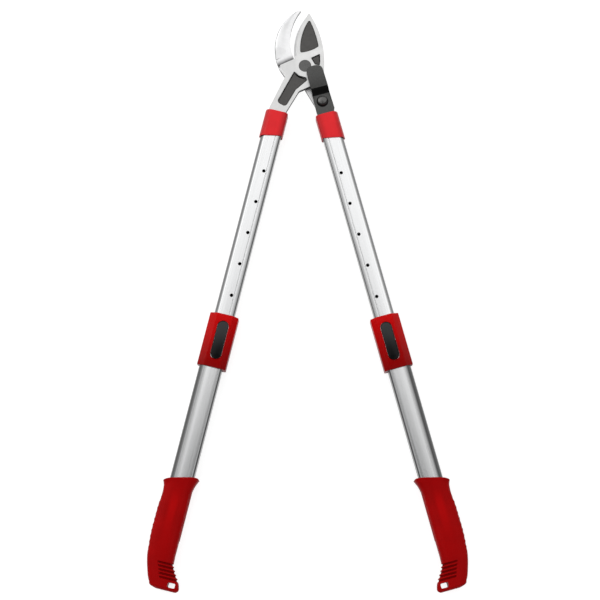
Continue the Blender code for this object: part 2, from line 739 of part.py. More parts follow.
def make_fasteners(head, hinge):
    """The pivot bolt, flush in the front piece, and the domed lever bolt, each with washer and nut."""
    foot = make_washer_and_nut("pivot", head, (0, 0), PIVOT_RADIUS, WASHER_RADIUS, NUT_FLATS, NUT_HEIGHT)
    seat = PLATE_FRONT - PIVOT_HEAD
    profile = [(PIVOT_RADIUS, foot - BOLT_END), (PIVOT_RADIUS, seat), (PIVOT_HEAD_RADIUS, seat)]
    profile += [(PIVOT_HEAD_RADIUS, PLATE_FRONT - 0.0003), (PIVOT_HEAD_RADIUS - 0.0003, PLATE_FRONT)]
    make_bolt("pivot_bolt", head, (0, 0), profile)
    bolt = lever_bolt_place()
    radius = LEVER_BOLT_RADIUS
    foot = make_washer_and_nut("lever", hinge, bolt, radius, 0.0075, LEVER_NUT_FLATS, LEVER_NUT_HEIGHT)
    seat = PLATE_FRONT + GAP
    profile = [(radius, foot - BOLT_END), (radius, seat), (LEVER_DOME_RADIUS, seat)]
    for turn in np.linspace(0.15, 1, 6)[:-1] * math.pi / 2:
        profile.append((LEVER_DOME_RADIUS * math.cos(turn), seat + LEVER_DOME * math.sin(turn)))
    make_bolt("lever_bolt", hinge, bolt, profile + [(0.001, seat + LEVER_DOME)])


def make_drive_lever(hinge, side):
    """The compound lever: a lobe in front of the blade's lug, a joggle and a tang in the right arm."""

    def moved(solid):
        """Into the frame of the lever's own axis, which lies on the arm's middle line."""
        points, faces = mirrored(solid, side)
        return points + (0, LEVER_BOLT_ALONG, 0), faces

    middle = LEVER_ACROSS
    turn = np.linspace(0, math.pi, 13)
    across = LEVER_TOP_HALF_WIDTH * np.sign(np.cos(turn)) * np.abs(np.cos(turn)) ** LEVER_TOP_SQUARENESS
    rise = LEVER_TOP_RISE * np.abs(np.sin(turn)) ** LEVER_TOP_SQUARENESS
    shoulder, tang_end = -LEVER_SHOULDER_ALONG, -(COLLAR_TOP_ALONG + RIGHT_ARM_EXTRA + TANG_LENGTH)
    neck = shoulder - 0.003
    half = LEVER_HALF_WIDTH
    outline = np.concatenate(
        [
            np.stack([middle + across, rise - LEVER_TOP_ALONG], axis=1),
            arc((middle - half, shoulder), (-TANG_HALF_WIDTH, neck), 0.0006, 2),
            [(-TANG_HALF_WIDTH, neck), (-TANG_HALF_WIDTH, tang_end)],
            [(TANG_HALF_WIDTH, tang_end), (TANG_HALF_WIDTH, neck)],
            arc((TANG_HALF_WIDTH, neck), (middle + half, shoulder), 0.0006, 2)[1:],
            [(middle + half, shoulder)],
        ]
    )
    lever = node("drive_lever", [moved(prism(outline, -PLATE_FRONT, LOBE_FRONT))], DARK_STEEL, hinge)
    front, back = -JOGGLE_FRONT_ALONG, -JOGGLE_BACK_ALONG
    side_view = [
        (0.01, LOBE_BACK),
        (back, LOBE_BACK),
        (back - JOGGLE_RUN, -PLATE_FRONT),
        (tang_end - 0.001, -PLATE_FRONT),
        (tang_end - 0.001, PLATE_FRONT),
        (front - JOGGLE_RUN, PLATE_FRONT),
        (front, LOBE_FRONT),
        (0.01, LOBE_FRONT),
    ]
    sweep = [np.array([(x, y, z) for y, z in side_view]) for x in (-0.03, 0.03)]
    shape(lever, "INTERSECT", "side_view", [moved(loft(sweep))])
    holes = [prism(circle(LEVER_BOLT_RADIUS + GAP, (0, -LEVER_BOLT_ALONG)), -0.01, 0.01)]
    seat = (LOBE_BACK - 0.001, LOBE_BACK + DRIVE_PIN_SEAT + GAP)
    holes.append(prism(circle(DRIVE_PIN_RADIUS + GAP, (0, -DRIVE_PIN_ALONG)), *seat))
    for along in RIVET_ALONG:
        place = (0, -along - RIGHT_ARM_EXTRA)
        holes.append(prism(circle(RIVET_RADIUS + GAP, place, 16), -0.01, 0.01))
    shape(lever, "DIFFERENCE", "holes", [moved(hole) for hole in holes])
    pin = [(DRIVE_PIN_RADIUS - 0.0005, -PLATE_FRONT + GAP), (DRIVE_PIN_RADIUS, -PLATE_FRONT + 0.0008)]
    pin += [(DRIVE_PIN_RADIUS, LOBE_BACK + DRIVE_PIN_SEAT)]
    node("drive_pin", [moved(turned_solid(pin, (0, -DRIVE_PIN_ALONG)))], NUT_STEEL, hinge)


# Arms, drawn for the left one


def tube_section(half_width, half_depth, nose, corner, groove=False):
    """A section with a round outer side and two small inner corners, as (across, z) points."""
    corner = max(corner, SMALLEST_CORNER)
    turn = np.linspace(-math.pi / 2, math.pi / 2, NOSE_STEPS + 1)
    outer = np.stack([-half_width + nose - nose * np.cos(turn), half_depth * np.sin(turn)], axis=1)
    square = (half_width - corner, half_depth - corner)
    upper = circle_part(square, corner, math.pi / 2, 0, CORNER_STEPS)
    lower = circle_part((square[0], -square[1]), corner, 0, -math.pi / 2, CORNER_STEPS)
    if not groove:
        return np.concatenate([outer, upper, lower])
    across = np.array((-GROOVE_HALF_WIDTH, 0, GROOVE_HALF_WIDTH)) + GROOVE_ACROSS
    depth = half_depth - np.array((0, GROOVE_DEPTH, 0))
    front = np.stack([across, depth], axis=1)
    back = np.stack([across, -depth], axis=1)[::-1]
    return np.concatenate([outer, front, upper, lower, back])


def upper_section(extra=0.0, groove=False):
    """The upper tube's section, made larger or smaller by a wall or a clearance."""
    sizes = (UPPER_HALF_WIDTH, UPPER_HALF_DEPTH, UPPER_NOSE, UPPER_CORNER)
    return tube_section(*(size + extra for size in sizes), groove)


def lower_section(extra=0.0):
    """The lower tube's section, made larger or smaller by a wall or a clearance."""
    sizes = (LOWER_HALF_WIDTH, LOWER_HALF_DEPTH, LOWER_NOSE, LOWER_CORNER)
    return tube_section(*(size + extra for size in sizes))


def make_collar(name, arm, side):
    """A cap on the tube's end with a slot for the tang and a slanted foot."""
    foot = COLLAR_TOP_ALONG + COLLAR_LENGTH
    outer = upper_section(GAP + COLLAR_WALL)
    chamfer = CLAMP_CHAMFER / 2
    top = np.column_stack([outer[:, 0], np.full(len(outer), -COLLAR_TOP_ALONG), outer[:, 1]])
    neck = top - (0, chamfer, 0)
    inner_top = top * (1 - chamfer / UPPER_HALF_WIDTH, 1, 1 - chamfer / UPPER_HALF_DEPTH)
    end = np.column_stack([outer[:, 0], -foot + COLLAR_SLANT * outer[:, 0], outer[:, 1]])
    collar = node(name, [mirrored(loft([inner_top, neck, end]), side)], RED_PLASTIC, arm)
    bore = bar(upper_section(GAP), COLLAR_TOP_ALONG + COLLAR_CAP, foot + 0.01)
    half_width, half_depth = TANG_HALF_WIDTH + GAP, PLATE_FRONT + GAP
    slot = [(-half_width, -half_depth), (half_width, -half_depth), (half_width, half_depth)]
    slot += [(-half_width, half_depth)]
    cap = bar(slot, COLLAR_TOP_ALONG - 0.01, COLLAR_TOP_ALONG + COLLAR_CAP + 0.001)
    shape(collar, "DIFFERENCE", "bore", [mirrored(bore, side)])
    shape(collar, "DIFFERENCE", "slot", [mirrored(cap, side)])


def make_upper_tube(name, arm, side):
    """The upper tube with its row of locking holes in the front face and its rivet holes."""
    tube = node(name, [mirrored(bar(upper_section(0, True), UPPER_START, UPPER_END), side)], ALUMINIUM, arm)
    bore = bar(upper_section(-UPPER_WALL), UPPER_START - 0.001, UPPER_END + 0.001)
    shape(tube, "DIFFERENCE", "bore", [mirrored(bore, side)])
    over = UPPER_HALF_DEPTH + 0.001
    holes = []
    for index in range(HOLE_COUNT):
        place = (LOCK_ACROSS, -HOLE_ALONG - index * HOLE_PITCH)
        holes.append(prism(circle(HOLE_RADIUS, place, 16), 0, over))
    for along in RIVET_ALONG:
        holes.append(prism(circle(RIVET_RADIUS + GAP, (0, -along), 16), -over, over))
    shape(tube, "DIFFERENCE", "holes", [mirrored(hole, side) for hole in holes])


def make_rivets(prefix, arm):
    """The two flush rivets that hold the tang in the tube, hidden under the collar."""
    for label, along in zip(("upper", "lower"), RIVET_ALONG):
        rivet = prism(circle(RIVET_RADIUS, (0, -along), 16), -UPPER_HALF_DEPTH, UPPER_HALF_DEPTH)
        node(f"{prefix}_{label}_rivet", [rivet], NUT_STEEL, arm)


def make_end_plug(name, arm, side):
    """The plastic plug in the tube's end, whose flange runs inside the lower tube."""
    flange = bar(upper_section(NEST_GAP - GAP), UPPER_END + GAP, UPPER_END + GAP + PLUG_FLANGE)
    body = bar(upper_section(-UPPER_WALL - GAP), UPPER_END - PLUG_LENGTH, UPPER_END + 0.001)
    inner = upper_section(-UPPER_WALL - GAP - PLUG_WALL)
    bore = bar(inner, UPPER_END - PLUG_LENGTH - 0.001, UPPER_END + 0.01)
    plug = node(name, [mirrored(flange, side)], BLACK_PLASTIC, arm)
    shape(plug, "UNION", "body", [mirrored(body, side)])
    shape(plug, "DIFFERENCE", "bore", [mirrored(bore, side)])


def make_lower_tube(name, arm, side):
    """The lower tube, from inside the clamp to the bottom of the grip's socket."""
    tube = node(name, [mirrored(bar(lower_section(), LOWER_START, LOWER_END), side)], ALUMINIUM, arm)
    bore = bar(lower_section(-LOWER_WALL), LOWER_START - 0.001, LOWER_END + 0.001)
    shape(tube, "DIFFERENCE", "bore", [mirrored(bore, side)])
    place = (LOCK_ACROSS, -LOCK_HOLE_ALONG)
    passage = prism(circle(LOCK_PASSAGE_RADIUS, place, 16), 0, LOWER_HALF_DEPTH + 0.001)
    shape(tube, "DIFFERENCE", "passage", [mirrored(passage, side)])


def clamp_section():
    """An eight-sided section, its flat panels set towards the inner side."""
    outer, inner = -CLAMP_OUTER, CLAMP_INNER
    front, back = CLAMP_FRONT, -CLAMP_BACK
    return [
        (-CLAMP_PANEL_OUTER, back),
        (CLAMP_PANEL_INNER, back),
        (inner, -CLAMP_INNER_EDGE),
        (inner, CLAMP_INNER_EDGE),
        (CLAMP_PANEL_INNER, front),
        (-CLAMP_PANEL_OUTER, front),
        (outer, CLAMP_OUTER_EDGE),
        (outer, -CLAMP_OUTER_EDGE),
    ]


def make_clamp(name, arm, side):
    """The housing on the lower tube's end, with the lock lever's rimmed window in its front."""
    section = np.array(clamp_section())
    lowered = np.where(section > CLAMP_FRONT - GAP, section - CLAMP_RAMP_DROP, section)
    lowered[:, 0] = section[:, 0]
    smaller = lowered * (1 - CLAMP_CHAMFER / CLAMP_OUTER, 1 - CLAMP_CHAMFER / CLAMP_BACK)
    rings = []
    for ring, along in (
        (smaller, CLAMP_TOP_ALONG),
        (lowered, CLAMP_TOP_ALONG + CLAMP_CHAMFER),
        (section, CLAMP_TOP_ALONG + CLAMP_TOP_RAMP),
        (section, CLAMP_FOOT_ALONG - CLAMP_FOOT_RAMP),
        (lowered, CLAMP_FOOT_ALONG - CLAMP_CHAMFER),
        (smaller, CLAMP_FOOT_ALONG),
    ):
        rings.append(np.column_stack([ring[:, 0], np.full(len(ring), -along), ring[:, 1]]))
    clamp = node(name, [mirrored(loft(rings), side)], RED_PLASTIC, arm)
    middle = (LOCK_ACROSS, -LOCK_AXLE_ALONG)
    rim = prism(
        capsule(WINDOW_HALF_SPAN, WINDOW_RADIUS + WINDOW_RIM, middle),
        CLAMP_FRONT - 0.002,
        CLAMP_FRONT + WINDOW_RIM_HEIGHT,
    )
    shape(clamp, "UNION", "rim", [mirrored(rim, side)])
    lip_bore = bar(upper_section(GAP), CLAMP_TOP_ALONG - 0.001, CLAMP_TOP_ALONG + CLAMP_LIP + 0.001)
    shape(clamp, "DIFFERENCE", "lip_bore", [mirrored(lip_bore, side)])
    tube_bore = bar(lower_section(GAP), CLAMP_TOP_ALONG + CLAMP_LIP, CLAMP_FOOT_ALONG + 0.001)
    shape(clamp, "DIFFERENCE", "tube_bore", [mirrored(tube_bore, side)])
    window = prism(capsule(WINDOW_HALF_SPAN, WINDOW_RADIUS, middle), 0, CLAMP_FRONT + 0.003)
    shape(clamp, "DIFFERENCE", "window", [mirrored(window, side)])
    axle_hole = cross_pin(LOCK_AXLE_RADIUS + GAP, WINDOW_RADIUS + LOCK_AXLE_SEAT + GAP)
    shape(clamp, "DIFFERENCE", "axle_hole", [mirrored(axle_hole, side)])


def cross_pin(radius, half_length):
    """A round bar across the arm, on the lock lever's axis."""
    ring = circle(radius, (-LOCK_AXLE_ALONG, LOCK_AXLE_Z), 16)
    ends = []
    for across in (LOCK_ACROSS - half_length, LOCK_ACROSS + half_length):
        ends.append(np.column_stack([np.full(len(ring), across), ring]))
    return loft(ends)


def make_lock(prefix, arm, lock_axis, side):
    """A rocking lever on an axle, its pin at the head end and its spring at the other."""
    radius = WINDOW_RADIUS - LOCK_SIDE_GAP
    half_length = WINDOW_HALF_SPAN + radius
    middle = (LOCK_ACROSS, -LOCK_AXLE_ALONG)

    def moved(solid):
        """Into the frame of the lock's own axis, which lies in the arm's frame."""
        points, faces = mirrored(solid, side)
        return points - np.array(lock_axis.location), faces

    plan = prism(capsule(WINDOW_HALF_SPAN, radius, middle), 0, LOCK_RIDGE_Z + 0.002)
    lever = node(f"{prefix}_lock_lever", [moved(plan)], BLACK_PLASTIC, lock_axis)
    slope = half_length * 0.62
    side_view = [
        (half_length + 0.001, LOCK_UNDER_Z),
        (half_length + 0.001, LOCK_END_Z),
        (slope, LOCK_END_Z + 0.7 * (LOCK_RIDGE_Z - LOCK_END_Z)),
        (0.002, LOCK_RIDGE_Z),
        (-0.002, LOCK_RIDGE_Z),
        (-slope, LOCK_END_Z + 0.7 * (LOCK_RIDGE_Z - LOCK_END_Z)),
        (-half_length - 0.001, LOCK_END_Z),
        (-half_length - 0.001, LOCK_UNDER_Z),
        (-2 * LOCK_HUB, LOCK_UNDER_Z),
        (-LOCK_HUB, LOCK_HUB_Z),
        (LOCK_HUB, LOCK_HUB_Z),
        (2 * LOCK_HUB, LOCK_UNDER_Z),
    ]
    sweep = []
    for x in (-0.01, 0.01):
        sweep.append([(LOCK_ACROSS + x, y - LOCK_AXLE_ALONG, z) for y, z in side_view])
    shape(lever, "INTERSECT", "side_view", [moved(loft(sweep))])
    pin_place = (LOCK_ACROSS, -LOCK_HOLE_ALONG)
    pin_top = LOCK_UNDER_Z + LOCK_PIN_SEAT
    spring_place = (LOCK_ACROSS, -LOCK_AXLE_ALONG - SPRING_BACK)
    well_top = LOCK_UNDER_Z + SPRING_WELL
    well_radius = SPRING_RADIUS + SPRING_WIRE + 2 * GAP
    cutters = [
        cross_pin(LOCK_AXLE_RADIUS + GAP, WINDOW_RADIUS),
        prism(circle(LOCK_PIN_RADIUS + GAP, pin_place, 16), LOCK_UNDER_Z - 0.001, pin_top + GAP),
        prism(circle(well_radius, spring_place, 16), LOCK_UNDER_Z - 0.001, well_top),
    ]
    shape(lever, "DIFFERENCE", "seats", [moved(cutter) for cutter in cutters])
    axle = cross_pin(LOCK_AXLE_RADIUS, WINDOW_RADIUS + LOCK_AXLE_SEAT)
    node(f"{prefix}_lock_axle", [mirrored(axle, side)], NUT_STEEL, arm)
    tip = UPPER_HALF_DEPTH + GAP
    profile = [(LOCK_PIN_TIP_RADIUS, tip), (LOCK_PIN_RADIUS, tip + LOCK_PIN_TAPER)]
    profile.append((LOCK_PIN_RADIUS, pin_top))
    node(f"{prefix}_lock_pin", [moved(turned_solid(profile, pin_place, 16))], NUT_STEEL, lock_axis)
    make_spring(f"{prefix}_lock_spring", arm, mirrored(spring_line(spring_place, well_top), side)[0])


def spring_line(place, well_top):
    """Points along the coil of the lock spring, with a closed half turn at each end."""
    low = LOWER_HALF_DEPTH + GAP + SPRING_WIRE
    high = well_top - GAP - SPRING_WIRE
    turn = np.linspace(0, 2 * math.pi * SPRING_TURNS, SPRING_TURNS * 9 + 1)
    rise = np.clip((turn - math.pi / 2) / (turn[-1] - math.pi), 0, 1)
    x = place[0] + SPRING_RADIUS * np.cos(turn)
    y = place[1] + SPRING_RADIUS * np.sin(turn)
    return np.column_stack([x, y, low + (high - low) * rise]), []


def make_spring(name, arm, points):
    """A round wire along the points."""
    curve = bpy.data.curves.new(name, "CURVE")
    curve.dimensions = "3D"
    curve.bevel_depth = SPRING_WIRE
    curve.bevel_resolution = 1
    curve.use_fill_caps = True
    line = curve.splines.new("POLY")
    line.points.add(len(points) - 1)
    for spot, point in zip(line.points, points):
        spot.co = (*point, 1)
    spring = bpy.data.objects.new(name, curve)
    curve.materials.append(material(SPRING_STEEL))
    spring.parent = arm
    bpy.context.scene.collection.objects.link(spring)


# Grip


def swell(places, fraction):
    """A smooth curve through (fraction, stand-out) places along the grip."""
    at, height = np.array(places).T
    slopes = np.gradient(height, at)
    place = int(np.clip(np.searchsorted(at, fraction) - 1, 0, len(at) - 2))
    span = at[place + 1] - at[place]
    part = (fraction - at[place]) / span
    blend = part * part * (3 - 2 * part)
    lean = part * (1 - part) * ((1 - part) * slopes[place] - part * slopes[place + 1]) * span
    return height[place] * (1 - blend) + height[place + 1] * blend + lean


def grip_ring(depth, rib=0.0, notch=0.0):
    """One ring of the grip: a squared oval about the socket, drawn in by a rib's valley or a notch."""
    fraction = min(depth / GRIP_LENGTH, 1.0)
    outer = LOWER_HALF_WIDTH + GAP + swell(GRIP_OUTER, fraction)
    inner = LOWER_HALF_WIDTH + GAP + swell(GRIP_INNER, fraction)
    deep = LOWER_HALF_DEPTH + GAP + swell(GRIP_DEEP, fraction)
    past_socket = np.clip((depth - GRIP_SOCKET) / (GRIP_LENGTH - GRIP_SOCKET), 0, 1)
    squareness = GRIP_SQUARENESS + (GRIP_END_SQUARENESS - GRIP_SQUARENESS) * past_socket
    turn = np.linspace(0, 2 * math.pi, RING, endpoint=False)
    cos = np.sign(np.cos(turn)) * np.abs(np.cos(turn)) ** squareness
    sin = np.sign(np.sin(turn)) * np.abs(np.sin(turn)) ** squareness
    across = (inner - outer) / 2 + (inner + outer) / 2 * cos
    across += rib * np.clip(-cos, 0, 1)
    cut = notch * np.clip(cos + NOTCH_SPREAD, 0, 1)
    z = deep * sin - cut * sin
    across -= cut * np.clip(cos, 0, 1)
    lean = max(0.0, 1 - depth / MOUTH_LEAN_LENGTH)
    along = -GRIP_ALONG - depth + lean * (MOUTH_SLANT * across + MOUTH_ARCH * (z / deep) ** 2)
    return np.column_stack([across, along, z])


def grip_rings():
    """The grip's rings from mouth to end, with ribs on its outer side and notches across its inner side."""
    rings = [grip_ring(depth) for depth in MOUTH_RINGS]
    for index in range(2 * RIB_COUNT + 1):
        rings.append(grip_ring(RIB_FIRST + (index - 1) * RIB_PITCH / 2, rib=RIB_DEPTH * (index % 2)))
    for index in range(NOTCH_COUNT):
        middle = GRIP_LENGTH - NOTCH_FIRST_FROM_END + index * NOTCH_PITCH
        outside, inside = NOTCH_HALF_WIDTH + NOTCH_SLOPE, NOTCH_HALF_WIDTH
        rings.append(grip_ring(middle - outside))
        rings.append(grip_ring(middle - inside, notch=NOTCH_DEPTH))
        rings.append(grip_ring(middle + inside, notch=NOTCH_DEPTH))
        rings.append(grip_ring(middle + outside))
    return rings + [grip_ring(GRIP_LENGTH - back) for back in END_RINGS]


def make_grip(name, arm, side):
    """The moulded grip: a flared mouth, a socket for the tube, and a hooked end with a hanging slot."""
    grip = node(name, [mirrored(loft(grip_rings(), True), side)], RED_RUBBER, arm)
    socket = bar(lower_section(GAP), GRIP_ALONG - 0.02, LOWER_END + GAP)
    shape(grip, "DIFFERENCE", "socket", [mirrored(socket, side)])
    across, along = SLOT_ACROSS, -GRIP_ALONG - GRIP_LENGTH + SLOT_FROM_END
    half_width, half_height = SLOT_WIDTH / 2, SLOT_HEIGHT / 2
    corners = [(across - half_width, along - half_height), (across + half_width, along - half_height)]
    corners += [(across + half_width, along + half_height), (across - half_width, along + half_height)]
    slot = prism(rounded(corners, SLOT_CORNER, 2), -0.03, 0.03)
    shape(grip, "DIFFERENCE", "hanging_slot", [mirrored(slot, side)])


# The whole lopper


def set_down(head):
    """Moves the model so that the frame's origin lies under the middle of its outline."""
    bpy.context.view_layer.update()
    graph = bpy.context.evaluated_depsgraph_get()
    places = []
    for piece in bpy.context.scene.objects:
        if piece.type not in {"MESH", "CURVE"} or piece.hide_render:
            continue
        shown = piece.evaluated_get(graph)
        points = np.array([shown.matrix_world @ vertex.co for vertex in shown.to_mesh().vertices])
        shown.to_mesh_clear()
        places += [points.min(axis=0), points.max(axis=0)]
    low, high = np.min(places, axis=0), np.max(places, axis=0)
    head.location = (-(low[0] + high[0]) / 2, -(low[1] + high[1]) / 2, -low[2])


def make_arm(prefix, arm, side):
    """One telescopic arm: the head's side of it stays with the arm, the rest slides along it."""
    make_collar(f"{prefix}_collar", arm, side)
    make_upper_tube(f"{prefix}_upper_tube", arm, side)
    make_rivets(prefix, arm)
    make_end_plug(f"{prefix}_end_plug", arm, side)
    slide = axis(f"{prefix}_slide", arm, (0, 0))
    make_clamp(f"{prefix}_clamp", slide, side)
    make_lower_tube(f"{prefix}_lower_tube", slide, side)
    make_grip(f"{prefix}_grip", slide, side)
    lock_place = (side * LOCK_ACROSS, -LOCK_AXLE_ALONG, LOCK_AXLE_Z)
    make_lock(prefix, slide, axis(f"{prefix}_lock_hinge", slide, lock_place), side)


def make_lopper():
    for piece in list(bpy.data.objects):
        bpy.data.objects.remove(piece)
    head = axis("head", None, (0, 0))
    jaw_hinge = axis("jaw_hinge", head, (0, 0))
    make_blade(head)
    make_hook(jaw_hinge)
    make_fasteners(head, jaw_hinge)
    make_arm("left", axis("left_arm", head, (LEFT_ARM_X, 0), -LEFT_ARM_LEAN), 1)
    lever_hinge = axis("lever_hinge", head, lever_bolt_place(), RIGHT_ARM_LEAN)
    make_drive_lever(lever_hinge, -1)
    right_arm = axis("right_arm", lever_hinge, (0, LEVER_BOLT_ALONG - RIGHT_ARM_EXTRA))
    make_arm("right", right_arm, -1)
    set_down(head)


make_lopper()
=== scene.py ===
"""Looks of a telescopic lopper that lies on its back: ground steel head, aluminium arms, red mouldings.

Lengths are in metres. A head outline is drawn about the main pivot. An arm's outline is drawn about the
arm's own line: "across" runs from its middle to the other arm, "along" from the head to the grip.
"""

import json
import math

import bmesh
import bpy
import numpy as np
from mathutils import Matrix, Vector


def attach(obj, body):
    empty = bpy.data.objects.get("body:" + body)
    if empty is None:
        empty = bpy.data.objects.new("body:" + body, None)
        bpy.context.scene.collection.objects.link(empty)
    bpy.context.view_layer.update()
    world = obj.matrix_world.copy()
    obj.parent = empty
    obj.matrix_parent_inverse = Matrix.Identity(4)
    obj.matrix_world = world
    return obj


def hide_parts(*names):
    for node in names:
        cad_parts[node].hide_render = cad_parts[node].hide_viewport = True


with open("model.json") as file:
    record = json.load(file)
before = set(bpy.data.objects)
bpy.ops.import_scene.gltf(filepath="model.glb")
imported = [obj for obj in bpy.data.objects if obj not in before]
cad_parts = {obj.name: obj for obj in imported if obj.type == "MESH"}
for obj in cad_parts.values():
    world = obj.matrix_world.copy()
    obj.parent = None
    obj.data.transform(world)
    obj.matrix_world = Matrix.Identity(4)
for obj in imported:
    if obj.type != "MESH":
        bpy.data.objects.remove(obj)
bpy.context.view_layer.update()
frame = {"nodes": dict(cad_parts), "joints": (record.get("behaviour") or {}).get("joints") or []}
joints = {joint["name"]: joint for joint in frame["joints"]}
PIVOT = np.array(joints["jaw_hinge"]["pos_m"])
LEVER_BOLT = np.array(joints["lever_hinge"]["pos_m"])
BOLT = LEVER_BOLT[:2] - PIVOT[:2]
MIDDLE_PLANE = PIVOT[2]
SIDES = {"left": 1, "right": -1}
ARM_BODY = {"left": "blade_side", "right": "drive_side"}

# GAP is left between pieces, and CLEAR is how far a cutting solid stands past what it cuts. Plate levels
# are given from the middle plane of the tubes.
GAP = 0.0003
CLEAR = 0.001
PIVOT_BORE, LEVER_BORE, DRIVE_PIN_BORE = 0.0053, 0.0043, 0.0033
RIVET_HOLE, AXLE_BORE = 0.0027, 0.0015
PLATE_FRONT = 0.004
BLADE_FRONT = 0.0025
HOOK_FRONT = -PLATE_FRONT - GAP
HOOK_BACK = HOOK_FRONT - 0.008
LOBE_BACK = PLATE_FRONT + GAP
LOBE_FRONT = LOBE_BACK + 0.0057

# Blade and its panels, whose edge is given as (inset, rise)
HEEL = (-0.0155, 0.012)
SHOULDER, SHOULDER_FOOT = (-0.0388, 0.0013), (-0.0301, -0.016)
TIP = (0.0062, 0.088)
SPINE_FOOT, SPINE_BULGE = (0.0296, -0.002), 0.0075
STEP_LEFT_Y, STEP_RIGHT_Y, STEP_RUN = 0.0165, 0.0305, 0.0065
BEVEL_REACH, EDGE_HEIGHT = 0.0040, 0.0005
TANG_HALF_WIDTH = 0.0132
POCKET_DEPTH, SEAT_DEPTH, PANEL_GROOVE = 0.0014, 0.0011, 0.0004
PANEL_EDGE = ((0.0011, 0.0002), (0.00115, 0.0007), (0.00125, 0.00085), (0.0015, 0.0009), (0.0018, 0.0009))

# Hook
HOOK_TIP = np.array((-0.0093, 0.0955))
HOOK_NOSE = HOOK_TIP + (0.0028, -0.0014)
HOOK_BULGE, THROAT_BULGE = 0.0271, -0.0119
THROAT_ANGLE = math.radians(147)
BOSS_RADIUS, TAIL_RADIUS = 0.018, 0.0128
HOOK_RIDGE = 0.0036
RELIEF_RADIUS, RELIEF_RUN = 0.0395, 0.016
SCOOP_DEPTH, SCOOP_REACH, SCOOP_BACK = 0.0032, 0.013, 0.005

# Drive lever. JAW_SWING is the jaw's travel in degrees, and LEVER_SWING the lever's turn for each of them
LEVER_BOLT_ALONG, DRIVE_PIN_ALONG = 0.059, 0.017
LEVER_NECK, LEVER_END = -0.0765, -0.1337
LOBE_HALF_WIDTH, LOBE_HEIGHT, LOBE_SQUARENESS = 0.0129, 0.0105, 0.8
JOGGLE_FRONT, JOGGLE_BACK, JOGGLE_RUN = -0.038, -0.0425, 0.0105
COUNTERBORE_RADIUS, COUNTERBORE_DEPTH, DRIVE_PIN_DEPTH = 0.0088, 0.0005, 0.0043
JAW_SWING, LEVER_SWING = (-13, 45), 1.4

# Fasteners
WASHER_THICKNESS = 0.0012
THREAD_PITCH, THREAD_DEPTH = 0.0005, 0.0003
PIVOT_HEAD, PIVOT_HEAD_POCKET, PIVOT_HEAD_SEAT = 0.0094, 0.0026, 0.0023
LEVER_HEAD, LEVER_HEAD_RISE = 0.0076, 0.0036

# Tubes. CROWN is how far their faces fall to the sides, and FACE_PLACES is where a face has points
UPPER = {"half_width": 0.0154, "half_depth": 0.0112, "nose": 0.008, "corner": 0.0028}
LOWER = {"half_width": 0.0174, "half_depth": 0.0132, "nose": 0.0098, "corner": 0.0036}
UPPER_WALL, LOWER_WALL = 0.0014, 0.0012
UPPER_START, UPPER_END = 0.0808, 0.492
LOWER_START, LOWER_END = 0.4135, 0.748
FIRST_HOLE, HOLE_PITCH, HOLE_COUNT, HOLE_RADIUS = 0.176, 0.05, 6, 0.0026
RIVET_ALONG = (0.0935, 0.1085)
CROWN = 0.0008
GROOVE_DEPTH = 0.0005
GROOVE_PLACE, GROOVE_REACH = 0.755, 0.03
FACE_PLACES = np.concatenate([np.linspace(0.05, 0.7, 12), np.linspace(0.725, 0.785, 9), (0.82, 0.88, 0.94)])

# Collars
COLLAR_TOP, COLLAR_FOOT, COLLAR_SLANT = 0.0775, 0.1184, 0.19
COLLAR_WALL, COLLAR_ROUND = 0.0019, 0.0016
TANG_SLOT = (0.0135, 0.0043)

# Clamps and locks. A clamp's ring: its way from the top and from the foot, its front's drop and its inset
LOCK_ACROSS = 0.0038
LOCK_HOLE = 0.426
LOCK_AXLE, LOCK_AXLE_Z = 0.4474, 0.0162
CLAMP_TOP, CLAMP_FOOT = 0.4072, 0.489
CLAMP_FRONT, CLAMP_BACK = 0.0186, -0.0166
CLAMP_RINGS = (
    (0, 0, 0.0017, 0.0011),
    (0.0002, 0.0002, 0.0016, 0.0006),
    (0.0006, 0.0006, 0.0015, 0.0002),
    (0.0012, 0.0012, 0.0014, 0),
    (0.0070, 0.0095, 0.0002, 0),
    (0.0085, 0.0110, 0, 0),
)
WINDOW_HALF_SPAN, WINDOW_RADIUS = 0.021, 0.0087
WINDOW_RIM = ((0.0096, -0.002), (0.0096, 0.0003), (0.0093, 0.0007), (0.0089, 0.0008))
ROCKER_RADIUS, ROCKER_TOP, ROCKER_FALL = 0.0080, 0.0210, 0.0016
ROCKER_CROWN, ROCKER_ROUND, ROCKER_FLAT = 0.0006, 0.0012, 0.86
LOWER_HOLE, PIN_BORE, SPRING_WELL = 0.0034, 0.0021, 0.0036
CLAMP_AXLE_BORE_REACH, ROCKER_AXLE_BORE_REACH = 0.0102, 0.0087
SPRING_PLACE = (LOCK_ACROSS, -LOCK_AXLE - 0.019)
SPRING_TURNS, SPRING_RADIUS, SPRING_WIRE_RADIUS = 4, 0.0026, 0.0004
SPRING_LOW, SPRING_HIGH = 0.0139, 0.0181

